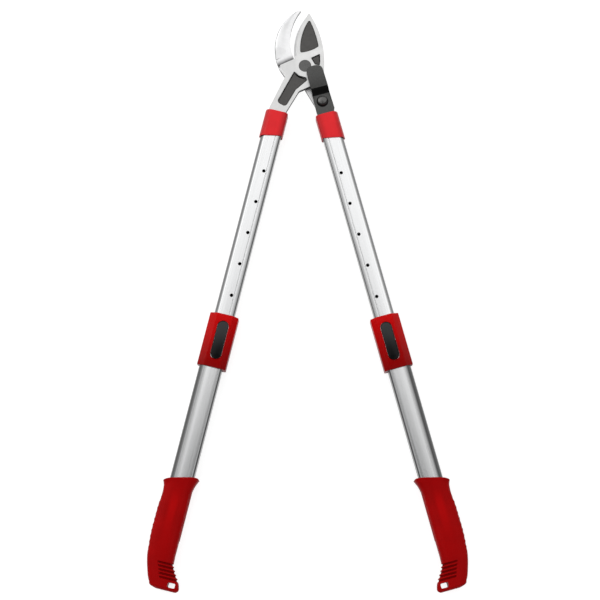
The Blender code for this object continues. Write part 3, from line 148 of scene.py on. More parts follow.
# Grips. The curves give how far they stand out from the socket, as (fraction of the length, stand-out)
GRIP_MOUTH, GRIP_LENGTH, GRIP_SOCKET = 0.662, 0.1595, 0.0863
SOCKET_HALF_WIDTH, SOCKET_HALF_DEPTH = 0.0177, 0.0135
GRIP_OUTER = ((0, 0.0079), (0.07, 0.0056), (0.15, 0.0047), (0.25, 0.0062), (0.39, 0.0066), (0.51, 0.0065))
GRIP_OUTER += ((0.635, 0.0051), (0.71, 0.0038), (0.84, -0.0014), (0.95, -0.0085), (0.985, -0.0125), (1, -0.0190))
GRIP_INNER = ((0, 0.0079), (0.04, 0.0040), (0.09, 0.0016), (0.2, 0.0014), (0.6, 0.0014), (0.7, 0.0015))
GRIP_INNER += ((0.76, 0.0024), (0.82, 0.0070), (0.885, 0.0135), (0.94, 0.0176), (0.975, 0.0184), (1, 0.0162))
GRIP_DEEP = ((0, 0.0054), (0.05, 0.0041), (0.12, 0.0032), (0.5, 0.0031), (0.65, 0.0024), (0.8, 0.0006))
GRIP_DEEP += ((0.95, -0.0022), (0.985, -0.0032), (1, -0.0052))
RIB_START, RIB_END, RIB_PITCH, RIB_HEIGHT = 0.026, 0.112, 0.0084, 0.0005
NOTCH_START, NOTCH_PITCH, LAST_NOTCH, NOTCH_DEPTH = 0.122, 0.0051, 4, 0.0016
GRIP_END_RUN, GRIP_END_INSET = 0.0035, 0.0022
HANGING_SLOT, HANGING_PLACE, HANGING_CORNER = (0.00545, 0.0036), (0.0246, -GRIP_MOUTH - GRIP_LENGTH + 0.0088), 0.0018

# Studio
WALL_LIGHT, CEILING_LIGHT = 0.30, 1.1
CEILING_WAY = (0.0, 0.40, 0.917)
OVAL_REACH, OVAL_BACK, OVAL_LIGHT = (0.26, 0.34), 0.13, 0.03
FLOOR_LIFT, FLOOR_REACH, FLOOR_Z = 0.80, 6.0, -0.0002
SOFTBOX_PLACE, SOFTBOX_SIDE, SOFTBOX_POWER = (-2.3, 1.5, 1.4), 3.0, 28
TILT, DISTANCE = math.radians(12), 2.4116
LENS, SENSOR = 96, 36
CAMERA_AIM = (0.00777, 0.371, 0)


# Outlines


def unit(way):
    """The same way or ways, each of length 1."""
    return way / np.hypot(way[..., 0], way[..., 1])[..., None]


def rectangle(half_width, half_height, centre=(0, 0)):
    """Four corners, anticlockwise."""
    signs = ((-1, -1), (1, -1), (1, 1), (-1, 1))
    return [(centre[0] + half_width * x, centre[1] + half_height * y) for x, y in signs]


def arc(start, end, bulge, steps):
    """From start, with end left out, on the circle through both that bulges to the right of the way."""
    start, end = np.array(start), np.array(end)
    chord = end - start
    length = np.hypot(*chord)
    forward = unit(chord)
    side = np.array((forward[1], -forward[0])) * math.copysign(1, bulge)
    rise = abs(bulge)
    radius = (length**2 / 4 + rise**2) / (2 * rise)
    half = math.asin(length / 2 / radius)
    centre = (start + end) / 2 + side * (rise - radius)
    turn = np.linspace(-half, half, steps + 1)[:-1, None]
    return centre + radius * (np.cos(turn) * side + np.sin(turn) * forward)


def circle_part(centre, radius, first, last, steps):
    """Centre plus radius times the cosine and sine of evenly spaced angles."""
    turn = np.linspace(first, last, steps + 1)
    return np.array(centre) + radius * np.stack([np.cos(turn), np.sin(turn)], axis=1)


def circle(radius, centre=(0, 0), steps=64):
    """A whole circle, its last point left out."""
    return circle_part(centre, radius, 0, 2 * math.pi, steps)[:-1]


def rounded(corners, radii, steps=8):
    """Each corner of an anticlockwise polygon becomes an arc that touches its two sides."""
    corners = [np.array(corner) for corner in corners]
    points = []
    for index, (corner, radius) in enumerate(zip(corners, np.broadcast_to(radii, len(corners)))):
        before = corners[index - 1] - corner
        after = corners[(index + 1) % len(corners)] - corner
        before, after = unit(before), unit(after)
        half = math.acos(np.clip(before @ after, -1, 1)) / 2
        back = radius / math.tan(half)
        turns_left = after[0] * before[1] - after[1] * before[0] > 0
        bulge = radius * (1 - math.sin(half)) * (1 if turns_left else -1)
        points += [arc(corner + before * back, corner + after * back, bulge, steps), [corner + after * back]]
    return np.concatenate(points)


def bowed(corners, bows, radius, steps=28):
    """Arcs from corner to corner, each cut short of its corners, and small arcs across the corners."""
    sides = []
    for index, corner in enumerate(corners):
        following = corners[(index + 1) % len(corners)]
        sides.append(np.concatenate([arc(corner, following, bows[index], 240), [following]]))
    cuts = []
    for index, side in enumerate(sides):
        before, after = sides[index - 1][-2] - side[0], side[1] - side[0]
        half = math.acos(before @ after / np.hypot(*before) / np.hypot(*after)) / 2
        cuts.append((radius / math.tan(half), radius * (1 - math.sin(half))))
    trimmed = []
    for index, side in enumerate(sides):
        start, end = side - side[0], side - side[-1]
        clear = np.hypot(start[:, 0], start[:, 1]) > cuts[index][0]
        clear &= np.hypot(end[:, 0], end[:, 1]) > cuts[(index + 1) % len(sides)][0]
        kept = side[clear]
        trimmed.append(kept[np.linspace(0, len(kept) - 1, steps + 1).astype(int)])
    points = []
    for index, side in enumerate(trimmed):
        points.append(arc(trimmed[index - 1][-1], side[0], cuts[index][1], 10))
        points.append(side[:-1])
    return np.concatenate(points)


def capsule(half_span, radius, centre=(0, 0), steps=24):
    """Two half circles joined by straight sides, long along the second axis."""
    top = circle_part((centre[0], centre[1] + half_span), radius, 0, math.pi, steps)
    foot = circle_part((centre[0], centre[1] - half_span), radius, math.pi, 2 * math.pi, steps)
    return np.concatenate([top, foot])


def slot(start, end, radius, steps=16):
    """What a disc sweeps on its way from start to end."""
    heading = math.atan2(end[1] - start[1], end[0] - start[0]) - math.pi / 2
    far = circle_part(end, radius, heading, heading + math.pi, steps)
    near = circle_part(start, radius, heading + math.pi, heading + 2 * math.pi, steps)
    return np.concatenate([far, near])


def turned(points, angle):
    """Points turned anticlockwise about the origin."""
    cos, sin = math.cos(angle), math.sin(angle)
    return np.array(points) @ np.array(((cos, sin), (-sin, cos)))


def drawn_in(outline, gap):
    """Each point of an anticlockwise outline moves by the gap, square to the line between its neighbours."""
    way = unit(np.roll(outline, -1, axis=0) - np.roll(outline, 1, axis=0))
    return outline + np.stack([-way[:, 1], way[:, 0]], axis=1) * gap


def smooth_step(value):
    """Three times the square less twice the cube, held between 0 and 1."""
    value = np.clip(value, 0, 1)
    return value * value * (3 - 2 * value)


def tube_section(sizes, extra=0.0, groove=False, nose_steps=40, corner_steps=8):
    """A half ellipse on the outer side and two round corners on the inner one, as (across, z).

    Both faces are crowned: z shrinks with the square of the distance from the middle. The groove in
    them is a parabola.
    """
    half_width, half_depth = sizes["half_width"] + extra, sizes["half_depth"] + extra
    nose, corner = sizes["nose"] + extra, max(sizes["corner"] + extra, 0.0004)
    turn = np.linspace(-math.pi / 2, math.pi / 2, nose_steps + 1)
    outer = np.stack([-half_width + nose - nose * np.cos(turn), half_depth * np.sin(turn)], axis=1)
    across = -half_width + nose + (2 * half_width - nose - corner) * FACE_PLACES
    dip = GROOVE_DEPTH * np.clip(1 - ((FACE_PLACES - GROOVE_PLACE) / GROOVE_REACH) ** 2, 0, 1) * groove
    front = np.stack([across, half_depth - dip], axis=1)
    square = (half_width - corner, half_depth - corner)
    upper = circle_part(square, corner, math.pi / 2, 0, corner_steps)
    lower = circle_part((square[0], -square[1]), corner, 0, -math.pi / 2, corner_steps)
    section = np.concatenate([outer, front, upper, lower, front[::-1] * (1, -1)])
    section[:, 1] *= 1 - CROWN / half_depth * (section[:, 0] / half_width) ** 2
    return section


# Meshes


def closed_through(rings, looped=False, fanned=False):
    """Points and faces of a skin that joins each ring to the next.

    If looped, the last ring joins the first one, as a tube's two walls do. Otherwise each end has a cap,
    which is one face or a fan about its middle.
    """
    rings = np.array([np.array(ring, float) for ring in rings])
    count, size = rings.shape[:2]
    ring, place = np.meshgrid(np.arange(count if looped else count - 1), np.arange(size), indexing="ij")
    here, after, following = place, (place + 1) % size, (ring + 1) % count
    corners = [ring * size + here, ring * size + after, following * size + after, following * size + here]
    faces = np.stack(corners, axis=-1).reshape(-1, 4).tolist()
    points = rings.reshape(-1, 3)
    for end in () if looped else (0, count - 1):
        cap = np.arange(end * size, (end + 1) * size)
        if not fanned:
            faces.append(cap.tolist())
            continue
        faces += np.stack([cap, np.roll(cap, -1), np.full(size, len(points))], axis=1).tolist()
        points = np.concatenate([points, rings[end].mean(axis=0, keepdims=True)])
    return points, faces


def level(outline, z):
    """An outline lying at one height."""
    return np.column_stack([outline, np.full(len(outline), z)])


def plate(outline, low, high):
    """An outline carried from one height to another."""
    return closed_through([level(outline, low), level(outline, high)])


def lathe(profile, centre=(0, 0), steps=64):
    """Each (radius, z) of the profile becomes a circle about the centre."""
    return closed_through([level(circle(radius, centre, steps), z) for radius, z in profile])


def section_at(section, along):
    """A section of (across, z) placed along an arm."""
    return np.column_stack([section[:, 0], np.broadcast_to(-along, len(section)), section[:, 1]])


def carried(section, start, end):
    """A section carried along an arm."""
    return closed_through([section_at(np.array(section), along) for along in (start, end)])


def in_head(solid):
    """From the main pivot's frame to the model's."""
    points, faces = solid
    return points + PIVOT, faces


def arm_axes(side):
    """An arm's origin, and its directions across to the other arm and up to the head."""
    slide = joints[f"{side}_slide"]
    up = np.array(slide["axis"])
    return np.array(slide["pos_m"]), np.array((up[1], -up[0], 0)) * SIDES[side], up


def laid_out(solid, origin, inner, up):
    """Points of across, minus along and height, laid on an origin and its two directions."""
    points, faces = solid
    return origin + points[:, :1] * inner + points[:, 1:2] * up + points[:, 2:] * (0, 0, 1), faces


def in_arm(side):
    """Carries a solid from an arm's frame to the model's."""
    return lambda solid: laid_out(solid, *arm_axes(side))


def in_lever(solid):
    """From the drive lever's frame, which starts above the lever bolt, to the model's."""
    _, inner, up = arm_axes("right")
    return laid_out(solid, LEVER_BOLT + up * LEVER_BOLT_ALONG, inner, up)


def out_of_arm(side, points):
    """From the model's frame back to an arm's: across, minus along and height."""
    origin, inner, up = arm_axes(side)
    way = points - origin
    return np.stack([way @ inner, way @ up, way[:, 2]], axis=1)


def mesh_piece(name, solid):
    """A smooth-shaded object from points and faces, its doubles merged and its faces turned out."""
    points, faces = solid
    mesh = bpy.data.meshes.new(name)
    mesh.from_pydata(points.tolist(), [], faces)
    shell = bmesh.new()
    shell.from_mesh(mesh)
    bmesh.ops.remove_doubles(shell, verts=shell.verts[:], dist=1e-6)
    bmesh.ops.recalc_face_normals(shell, faces=shell.faces[:])
    shell.to_mesh(mesh)
    shell.free()
    mesh.shade_smooth()
    piece = bpy.data.objects.new(name, mesh)
    bpy.context.scene.collection.objects.link(piece)
    return piece


def carved_piece(name, lay, solid, joined=(), kept=(), cut=()):
    """A piece from solids in one frame, which the lay function carries to the model's.

    What is joined to the first solid comes before what is kept in common, and what is cut comes last.
    """
    piece = mesh_piece(name, lay(solid))
    steps = [("UNION", other) for other in joined] + [("INTERSECT", other) for other in kept]
    for operation, other in steps + [("DIFFERENCE", other) for other in cut]:
        tool = mesh_piece("carving_tool", lay(other))
        modifier = piece.modifiers.new("carve", "BOOLEAN")
        modifier.operation = operation
        modifier.solver = "EXACT"
        modifier.object = tool
        bpy.context.view_layer.update()
        graph = bpy.context.evaluated_depsgraph_get()
        carved = bpy.data.meshes.new_from_object(piece.evaluated_get(graph))
        piece.modifiers.clear()
        spent = piece.data
        piece.data = carved
        bpy.data.meshes.remove(spent)
        bpy.data.objects.remove(tool)
    return piece


def soften(piece, width, segments=3, limit=30, material=-1):
    """Rounds every edge that turns by more than the limit, in degrees; -1 keeps the faces' own material."""
    modifier = piece.modifiers.new("soften", "BEVEL")
    modifier.width = width
    modifier.segments = segments
    modifier.limit_method = "ANGLE"
    modifier.angle_limit = math.radians(limit)
    modifier.harden_normals = True
    modifier.miter_outer = "MITER_ARC"
    modifier.material = material
    return piece


def fit(piece, body, node, material):
    """The piece takes its material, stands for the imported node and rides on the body."""
    piece.data.materials.clear()
    piece.data.materials.append(material)
    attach(piece, body)
    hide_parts(node)


def face_values(piece, kind):
    """The center or the normal of each face."""
    values = np.empty(3 * len(piece.data.polygons))
    piece.data.polygons.foreach_get(kind, values)
    return values.reshape(-1, 3)


def repaint(piece, *coats):
    """Further materials, each for the faces that its mask picks."""
    finish = np.zeros(len(piece.data.polygons), np.int32)
    for index, (material, faces) in enumerate(coats, 1):
        piece.data.materials.append(material)
        finish[faces] = index
    piece.data.polygons.foreach_set("material_index", finish)


# Materials


def new_material(name, colour, roughness, metallic=0.0, **constants):
    """A Principled material. Keyword names are socket names with _ for a space."""
    material = bpy.data.materials.new(name)
    material.use_nodes = True
    shader = material.node_tree.nodes["Principled BSDF"]
    shader.inputs["Base Color"].default_value = (*colour, 1)
    shader.inputs["Roughness"].default_value = roughness
    shader.inputs["Metallic"].default_value = metallic
    for socket, value in constants.items():
        shader.inputs[socket.replace("_", " ")].default_value = value
    material.diffuse_color = (*colour, 1)
    return material


def add_node(material, kind, **settings):
    """A node of that kind. A setting that isn't the node's own is an input's value."""
    made = material.node_tree.nodes.new(kind)
    for name, value in settings.items():
        if hasattr(made, name):
            setattr(made, name, value)
        else:
            made.inputs[name.replace("_", " ")].default_value = value
    return made


def join(material, value, target):
    """Joins an output to an input, or writes a number or a colour on it."""
    if isinstance(value, bpy.types.NodeSocket):
        material.node_tree.links.new(value, target)
    else:
        target.default_value = (*value, 1) if target.type == "RGBA" else value


def grain(material, scale, detail, roughness, lean=0.0, stretch=(1.0, 1.0, 1.0)):
    """Noise from 0 to 1 on object coordinates, which are turned by a lean about Z and then stretched."""
    vector = add_node(material, "ShaderNodeTexCoord").outputs["Object"]
    for settings in ({"Rotation": (0, 0, -lean)}, {"Scale": stretch}):
        mapping = add_node(material, "ShaderNodeMapping", vector_type="POINT", **settings)
        join(material, vector, mapping.inputs["Vector"])
        vector = mapping.outputs["Vector"]
    noise = add_node(material, "ShaderNodeTexNoise", Scale=scale, Detail=detail, Roughness=roughness)
    join(material, vector, noise.inputs["Vector"])
    return noise.outputs["Fac"]


def remap(material, value, low, high, to_low, to_high, eased=False):
    """A value mapped from one range to another and held there, with eased ends where asked."""
    kind = "SMOOTHSTEP" if eased else "LINEAR"
    ranged = add_node(material, "ShaderNodeMapRange", interpolation_type=kind, From_Min=low, From_Max=high)
    join(material, to_low, ranged.inputs["To Min"])
    join(material, to_high, ranged.inputs["To Max"])
    join(material, value, ranged.inputs["Value"])
    return ranged.outputs["Result"]


def computed(material, operation, *values):
    """Values put through a math node."""
    made = add_node(material, "ShaderNodeMath", operation=operation)
    for value, target in zip(values, made.inputs):
        join(material, value, target)
    return made.outputs["Value"]


def place_along(material, way, coordinates="Object"):
    """How far a point lies along a direction."""
    dot = add_node(material, "ShaderNodeVectorMath", operation="DOT_PRODUCT")
    dot.inputs[1].default_value = tuple(way)
    join(material, add_node(material, "ShaderNodeTexCoord").outputs[coordinates], dot.inputs[0])
    return dot.outputs["Value"]


def off_line(material, side, middle):
    """How far a point lies on either side of a line that runs along an arm."""
    origin, inner, _ = arm_axes(side)
    across = computed(material, "SUBTRACT", place_along(material, inner), float(inner @ origin))
    return computed(material, "ABSOLUTE", computed(material, "SUBTRACT", across, middle))


def blend_colours(material, factor, first, second):
    """The first colour at factor 0 and the second at 1."""
    mix = add_node(material, "ShaderNodeMix", data_type="RGBA")
    join(material, factor, mix.inputs["Factor"])
    sockets = [socket for socket in mix.inputs if socket.type == "RGBA"]
    join(material, first, sockets[0])
    join(material, second, sockets[1])
    return next(socket for socket in mix.outputs if socket.type == "RGBA")


def tinted(colour, factor):
    """A colour made darker or lighter, held under 1."""
    return tuple(min(1.0, part * factor) for part in colour)


def mottled(material, noise, colour, first, second, low=0.3, high=0.7):
    """A colour that the noise shades between two tints."""
    share = remap(material, noise, low, high, 0, 1)
    return blend_colours(material, share, tinted(colour, first), tinted(colour, second))


def stained(material, shade, value, low, high, strength, stain, eased=False):
    """A stain over a shade, which grows to its strength as the value goes from low to high."""
    return blend_colours(material, remap(material, value, low, high, 0, strength, eased), shade, stain)


def bumped(material, height, strength, distance, below=None):
    """A bump of that height laid over another one."""
    bump = add_node(material, "ShaderNodeBump", Strength=strength, Distance=distance)
    join(material, height, bump.inputs["Height"])
    if below:
        join(material, below, bump.inputs["Normal"])
    return bump.outputs["Normal"]


def wire_up(material, colour, roughness, normal):
    """Joins what has been made to the shader."""
    shader = material.node_tree.nodes["Principled BSDF"]
    for output, name in ((colour, "Base Color"), (roughness, "Roughness"), (normal, "Normal")):
        join(material, output, shader.inputs[name])
    return material


def scoop_painted_shade(material):
    """1 where the scoop takes painted shade, fading away from the shoulder's edge and stopping above its floor."""
    way = unit(np.array(HEEL) - SHOULDER)
    off = np.array((-way[1], way[0], 0))
    edge = float(off @ (PIVOT + (*HEEL, 0)))
    reach = place_along(material, off)
    near = remap(material, reach, edge + 0.0030, edge + 0.0120, 1, 0)
    begun = remap(material, reach, edge + 0.0012, edge + 0.0022, 0, 1)
    near = computed(material, "MULTIPLY", near, begun)
    floor = MIDDLE_PLANE + HOOK_FRONT - 0.0036
    high = remap(material, place_along(material, (0, 0, 1)), floor, floor + 0.0006, 0, 1)
    return computed(material, "MULTIPLY", computed(material, "MULTIPLY", near, near), high)


def ground_steel(name, colour, lean, matt=0.0, shaded_scoop=False):
    """Fine grinding lines across the plate, with cloudy patches, and painted shade in the hook's scoop."""
    material = new_material(name, colour, 0.34, 1.0)
    lines = grain(material, 1.0, 4.0, 0.7, lean, (260, 5200, 2600))
    clouds = grain(material, 55.0, 4.0, 0.6)
    pits = grain(material, 1500.0, 2.0, 0.5)
    shade = mottled(material, clouds, colour, 0.93, 1.05)
    shade = stained(material, shade, lines, 0.35, 0.75, 0.35, tinted(colour, 0.78))
    # Painted shade: near black in the scoop, as the shade that the shoulder's edge casts there
    if shaded_scoop:
        shade = blend_colours(material, scoop_painted_shade(material), shade, (0.045, 0.045, 0.046))
    polish = remap(material, lines, 0.25, 0.8, 0.27 + matt, 0.42 + matt)
    normal = bumped(material, pits, 0.05, 0.00008, bumped(material, lines, 0.10, 0.0001))
    return wire_up(material, shade, polish, normal)


def ground_bevel(name, colour, lean):
    """A freshly ground face: coarse lines square to the edge, half mirror and half matt."""
    material = new_material(name, colour, 0.5, 0.45)
    lines = grain(material, 1.0, 4.0, 0.7, lean, (5200, 300, 2600))
    shade = mottled(material, lines, colour, 1.04, 0.86, 0.35, 0.75)
    polish = remap(material, lines, 0.25, 0.8, 0.42, 0.6)
    return wire_up(material, shade, polish, bumped(material, lines, 0.12, 0.0001))


def dark_steel(name, colour, roughness=0.36):
    """A dark coating on steel, mottled, with faint scuffs that let the metal show."""
    material = new_material(name, colour, roughness, 1.0)
    mottle = grain(material, 420.0, 5.0, 0.65)
    scuffs = grain(material, 1.0, 5.0, 0.75, 0.9, (180, 1900, 900))
    skin = grain(material, 3200.0, 2.0, 0.5)
    shade = mottled(material, mottle, colour, 0.85, 1.12)
    shade = stained(material, shade, scuffs, 0.66, 0.80, 0.5, tinted(colour, 2.4))
    polish = remap(material, mottle, 0.3, 0.75, roughness - 0.06, roughness + 0.10)
    return wire_up(material, shade, polish, bumped(material, skin, 0.10, 0.0001))


def enamel(name, colour):
    """Matt dark enamel with a fine orange-peel skin."""
    material = new_material(name, colour, 0.55, 0.0, Specular_IOR_Level=0.35)
    peel = grain(material, 1700.0, 3.0, 0.55)
    dust = grain(material, 160.0, 4.0, 0.6)
    shade = mottled(material, dust, colour, 0.9, 1.1)
    polish = remap(material, peel, 0.3, 0.7, 0.5, 0.62)
    return wire_up(material, shade, polish, bumped(material, peel, 0.16, 0.0001))


def anodised(side, tube, middle, start, full, strength, flank_tint):
    """Satin aluminium with its extrusion's lines down the arm.

    Painted shade: it darkens by the strength from start to full, on either side of its middle line, and takes
    the flank's darker tint where it faces sideways, for the dark reflections at the tube's sides.
    """
    colour = (0.87, 0.875, 0.88)
    material = new_material(f"{side}_{tube}_anodised_aluminium", colour, 0.33, 1.0)
    _, _, up = arm_axes(side)
    lean = math.atan2(-up[0], up[1])
    lines = grain(material, 1.0, 3.0, 0.6, lean, (3400, 9, 3400))
    wide = grain(material, 1.0, 2.0, 0.5, lean, (420, 3, 420))
    frost = grain(material, 2600.0, 2.0, 0.5)
    shade = mottled(material, wide, colour, 0.95, 1.03)
    shade = stained(material, shade, lines, 0.5, 0.8, 0.3, tinted(colour, 0.84))
    # Painted shade: darker towards the tube's edges and where it faces sideways
    margin = off_line(material, side, middle)
    shade = stained(material, shade, margin, start, full, strength, tinted(colour, 0.05), eased=True)
    facing = place_along(material, (0, 0, 1), "Normal")
    shade = stained(material, shade, facing, 0.95, 0.6, 1.0, tinted(colour, flank_tint), eased=True)
    normal = bumped(material, frost, 0.05, 0.00006, bumped(material, lines, 0.07, 0.0001))
    return wire_up(material, shade, remap(material, lines, 0.25, 0.75, 0.17, 0.28), normal)


def painted_crest_highlight(material, side):
    """1 where the grip's crest takes its painted highlight, fading to its sides and ends."""
    origin, _, up = arm_axes(side)
    down = computed(material, "SUBTRACT", place_along(material, -up), float(-up @ origin))
    crest = remap(material, off_line(material, side, -0.0015), 0.0085, 0.002, 0.0, 1.0, eased=True)
    begun = remap(material, down, GRIP_MOUTH + 0.006, GRIP_MOUTH + 0.04, 0.0, 1.0, eased=True)
    left = remap(material, down, GRIP_MOUTH + 0.105, GRIP_MOUTH + 0.03, 0.0, 1.0, eased=True)
    return computed(material, "MULTIPLY", crest, computed(material, "MULTIPLY", begun, left))


def moulded(name, colour, roughness, skin_scale, skin_strength, specular, deeper=None, rimmed=None, crest_highlight=None):
    """Moulded plastic: an eroded skin, slow shifts of shade and rare worn streaks.

    It can take painted shade that deepens towards the foot, up to a height given as (low, high, tint), painted
    shade at the rims of an arm's front, or a painted highlight along the crest of an arm's grip.
    """
    material = new_material(name, colour, roughness, 0.0, Specular_IOR_Level=specular)
    skin = grain(material, skin_scale, 3.0, 0.6)
    flow = grain(material, 38.0, 3.0, 0.55)
    rubs = grain(material, 1.0, 4.0, 0.7, 0.25, (900, 90, 500))
    shade = mottled(material, flow, colour, 0.92, 1.07)
    shade = stained(material, shade, rubs, 0.68, 0.82, 0.22, tinted(colour, 1.35))
    # Painted shade: darker towards the foot
    if deeper:
        low, high, tint = deeper
        foot = remap(material, place_along(material, (0, 1, 0)), low, high, 0.9, 0.0, eased=True)
        shade = blend_colours(material, foot, shade, tinted(colour, tint))
    # Painted shade: darker at the rims of the arm's front
    if rimmed:
        off_middle = off_line(material, rimmed, 0.0)
        shade = stained(material, shade, off_middle, 0.006, 0.0165, 0.5, tinted(colour, 0.3), eased=True)
    # Painted highlight: lighter along the grip's crest
    if crest_highlight:
        shade = blend_colours(material, painted_crest_highlight(material, crest_highlight), shade, tinted(colour, 1.3))
    polish = remap(material, skin, 0.3, 0.7, roughness - 0.05, roughness + 0.07)
    return wire_up(material, shade, polish, bumped(material, skin, skin_strength, 0.00012))


def plated(name, colour, roughness=0.3):
    """Zinc plate: a milky sheen with small crystals."""
    material = new_material(name, colour, roughness, 1.0)
    crystals = grain(material, 900.0, 4.0, 0.6)
    shade = mottled(material, crystals, colour, 0.88, 1.1)
    polish = remap(material, crystals, 0.3, 0.7, roughness - 0.05, roughness + 0.12)
    return wire_up(material, shade, polish, bumped(material, crystals, 0.08, 0.0001))


STEEL = ground_steel("ground_blade_steel", (0.71, 0.71, 0.705), 0.35)
HOOK_STEEL = ground_steel("ground_hook_steel", (0.92, 0.92, 0.925), -0.2, 0.12, shaded_scoop=True)
LEVER_COAT = dark_steel("dark_lever_coating", (0.088, 0.088, 0.086))
PIVOT_COAT = dark_steel("blackened_bolt_steel", (0.125, 0.124, 0.122), 0.33)
# Painted shade: a near-black coat for faces of the blade and the drive lever that stand in shade
PAINTED_SHADE_BLACK = dark_steel("painted_shade_black_coating", (0.010, 0.010, 0.010), 0.5)
GROUND_BEVEL = ground_bevel("fresh_ground_bevel", (0.72, 0.72, 0.72), 0.35)
INLAY = enamel("dark_inlay_enamel", (0.072, 0.069, 0.066))
# Painted shadow: near-black enamel for the grooves about the panels and the lever bolt dome's shaded side
PAINTED_SHADOW_ENAMEL = enamel("painted_shadow_enamel", (0.012, 0.012, 0.012))
# Painted shade: a dark steel for the hook's edges, side walls and steep faces
EDGE_SHADE_STEEL = plated("painted_edge_shade_steel", (0.24, 0.24, 0.24), 0.5)
ZINC = plated("zinc_plated_steel", (0.64, 0.65, 0.67))
SPRING_WIRE = plated("bright_spring_wire", (0.58, 0.58, 0.60), 0.25)
# Painted shade at the rims of each collar's front
COLLAR_RED = {
    side: moulded(f"{side}_collar_red_nylon", (0.76, 0.018, 0.024), 0.36, 1300.0, 0.10, 0.16, rimmed=side)
    for side in SIDES
}
# Painted shade: the clamps darken towards their foot
CLAMP_SHADE = (PIVOT[1] - 0.48, PIVOT[1] - 0.40, 0.45)
CLAMP_RED = moulded("clamp_red_nylon", (0.515, 0.0013, 0.0016), 0.28, 1300.0, 0.12, 0.05, deeper=CLAMP_SHADE)
# Painted highlight along each grip's crest
GRIP_RED = {
    side: moulded(f"{side}_grip_red_rubber", (0.33, 0.001, 0.0014), 0.42, 1900.0, 0.22, 0.04, crest_highlight=side)
    for side in SIDES
}
# Painted shade: the black mouldings darken towards the handles' end
LOCK_SHADE = (PIVOT[1] - 0.455, PIVOT[1] - 0.415, 0.05)
BLACK = moulded("lock_black_nylon", (0.034, 0.034, 0.035), 0.20, 1500.0, 0.05, 0.13, deeper=LOCK_SHADE)
# Painted shade: a darker red for the floors of the grips' notches
GRIP_SHADE = moulded("grip_notch_painted_shade", (0.17, 0.0005, 0.0008), 0.5, 1900.0, 0.22, 0.02)
# Each tube's painted shade is set on its own, side by side and tube by tube
TUBE_METAL = {
    ("left", "upper"): anodised("left", "upper", 0.0012, 0.0075, 0.0140, 0.95, 0.18),
    ("left", "lower"): anodised("left", "lower", 0.0030, 0.0055, 0.0150, 0.91, 0.08),
    ("right", "upper"): anodised("right", "upper", 0.0, 0.0085, 0.0145, 0.76, 0.18),
    ("right", "lower"): anodised("right", "lower", 0.0030, 0.0055, 0.0150, 0.91, 0.08),
}


# Head


def lever_frame_point(across, along):
    """A place in the drive lever's frame, as seen from the main pivot."""
    points, _ = in_lever((np.array([[across, -along, 0.0]]), []))
    return points[0, :2] - PIVOT[:2]


def left_arm_point(across, along):
    """A place in the left arm's frame, as seen from the main pivot."""
    points, _ = in_arm("left")((np.array([[across, -along, 0.0]]), []))
    return points[0, :2] - PIVOT[:2]


def spine_at(y):
    """The spine's point at that height, read off its arc."""
    points = arc(SPINE_FOOT, TIP, SPINE_BULGE, 400)
    return np.array((np.interp(y, points[:, 1], points[:, 0]), y))


def shank_outline(step_drop):
    """Ground step, heel, shoulder, shank, tang, crotch, lug and spine, one arc or line after another."""
    right = spine_at(STEP_RIGHT_Y - step_drop)
    left = (HEEL[0], STEP_LEFT_Y - 0.65 * step_drop)
    return np.concatenate(
        [
            arc(right, left, -0.0022, 28),
            [left, HEEL],
            arc(SHOULDER, SHOULDER_FOOT, 0.0007, 10),
            [SHOULDER_FOOT, left_arm_point(-TANG_HALF_WIDTH, 0.0725)],
            [left_arm_point(-TANG_HALF_WIDTH, 0.1295), left_arm_point(TANG_HALF_WIDTH, 0.1295)],
            [left_arm_point(TANG_HALF_WIDTH, 0.0745)],
            arc((-0.0109, -0.0438), (-0.0052, -0.0395), -0.0008, 12),
            [(-0.0052, -0.0395)],
            arc((0.006, -0.0342), SPINE_FOOT, SPINE_BULGE, 36),
            [spine_at(y) for y in np.linspace(SPINE_FOOT[1], STEP_RIGHT_Y - step_drop, 16)[:-1]],
        ]
    )


def blade_outline(inset):
    """Cutting edge and spine above the ground step, the edge drawn in by the bevel but not at the tip."""
    edge = arc(TIP, HEEL, 0.0091, 72)
    spine = arc(SPINE_FOOT, TIP, SPINE_BULGE, 72)
    fraction = np.linspace(1, 0, 72)[:, None]
    way = unit(np.gradient(edge, axis=0))
    inward = np.stack([-way[:, 1], way[:, 0]], axis=1)
    edge = edge + inward * inset * (1 - fraction**4)
    spine = spine[spine[:, 1] > STEP_RIGHT_Y + CLEAR]
    return np.concatenate([edge, [(HEEL[0] + inset, HEEL[1]), (0, 0), spine_at(STEP_RIGHT_Y)], spine])


def blade_inlay_outline():
    """The dark bowed triangle beside the cutting edge."""
    return bowed([(-0.0074, 0.0222), (0.0216, 0.0326), (0.0071, 0.0773)], (0.0021, 0.0016, 0.0049), 0.0026)


def web_inlay_outline():
    """The dark wedge between the pivot and the spine."""
    corners = [(0.0090, 0.0131), (0.0153, 0.0022), (0.0232, 0.0010), (0.0240, 0.0080), (0.0236, 0.0200)]
    return rounded(corners, 0.0013)


def shank_inlay_outline():
    """The dark boot-shaped panel on the shank."""
    corners = [(-0.0168, -0.0086), (-0.0439, -0.0587), (-0.0300, -0.0668), (-0.0140, -0.0389)]
    corners += [(0.0036, -0.0236), (0.0022, -0.0190), (-0.0085, -0.0160)]
    return rounded(corners, (0.0020, 0.0052, 0.0052, 0.0090, 0.0020, 0.0018, 0.0040), 12)


def drive_slot_outline():
    """A straight slot through the places of the drive pin over the jaw's travel."""
    pin = lever_frame_point(0, DRIVE_PIN_ALONG)
    swings = np.radians(np.linspace(*JAW_SWING, 13))
    path = np.array([turned([BOLT], swing)[0] + turned([pin - BOLT], swing * LEVER_SWING)[0] for swing in swings])
    way = unit(path[-1] - path[0])
    side = np.array((way[1], -way[0]))
    bow = (path - path[0]) @ side
    shift = side * (bow.max() + bow.min()) / 2
    return slot(path[0] + shift, path[-1] + shift, DRIVE_PIN_BORE + np.ptp(bow) / 2)


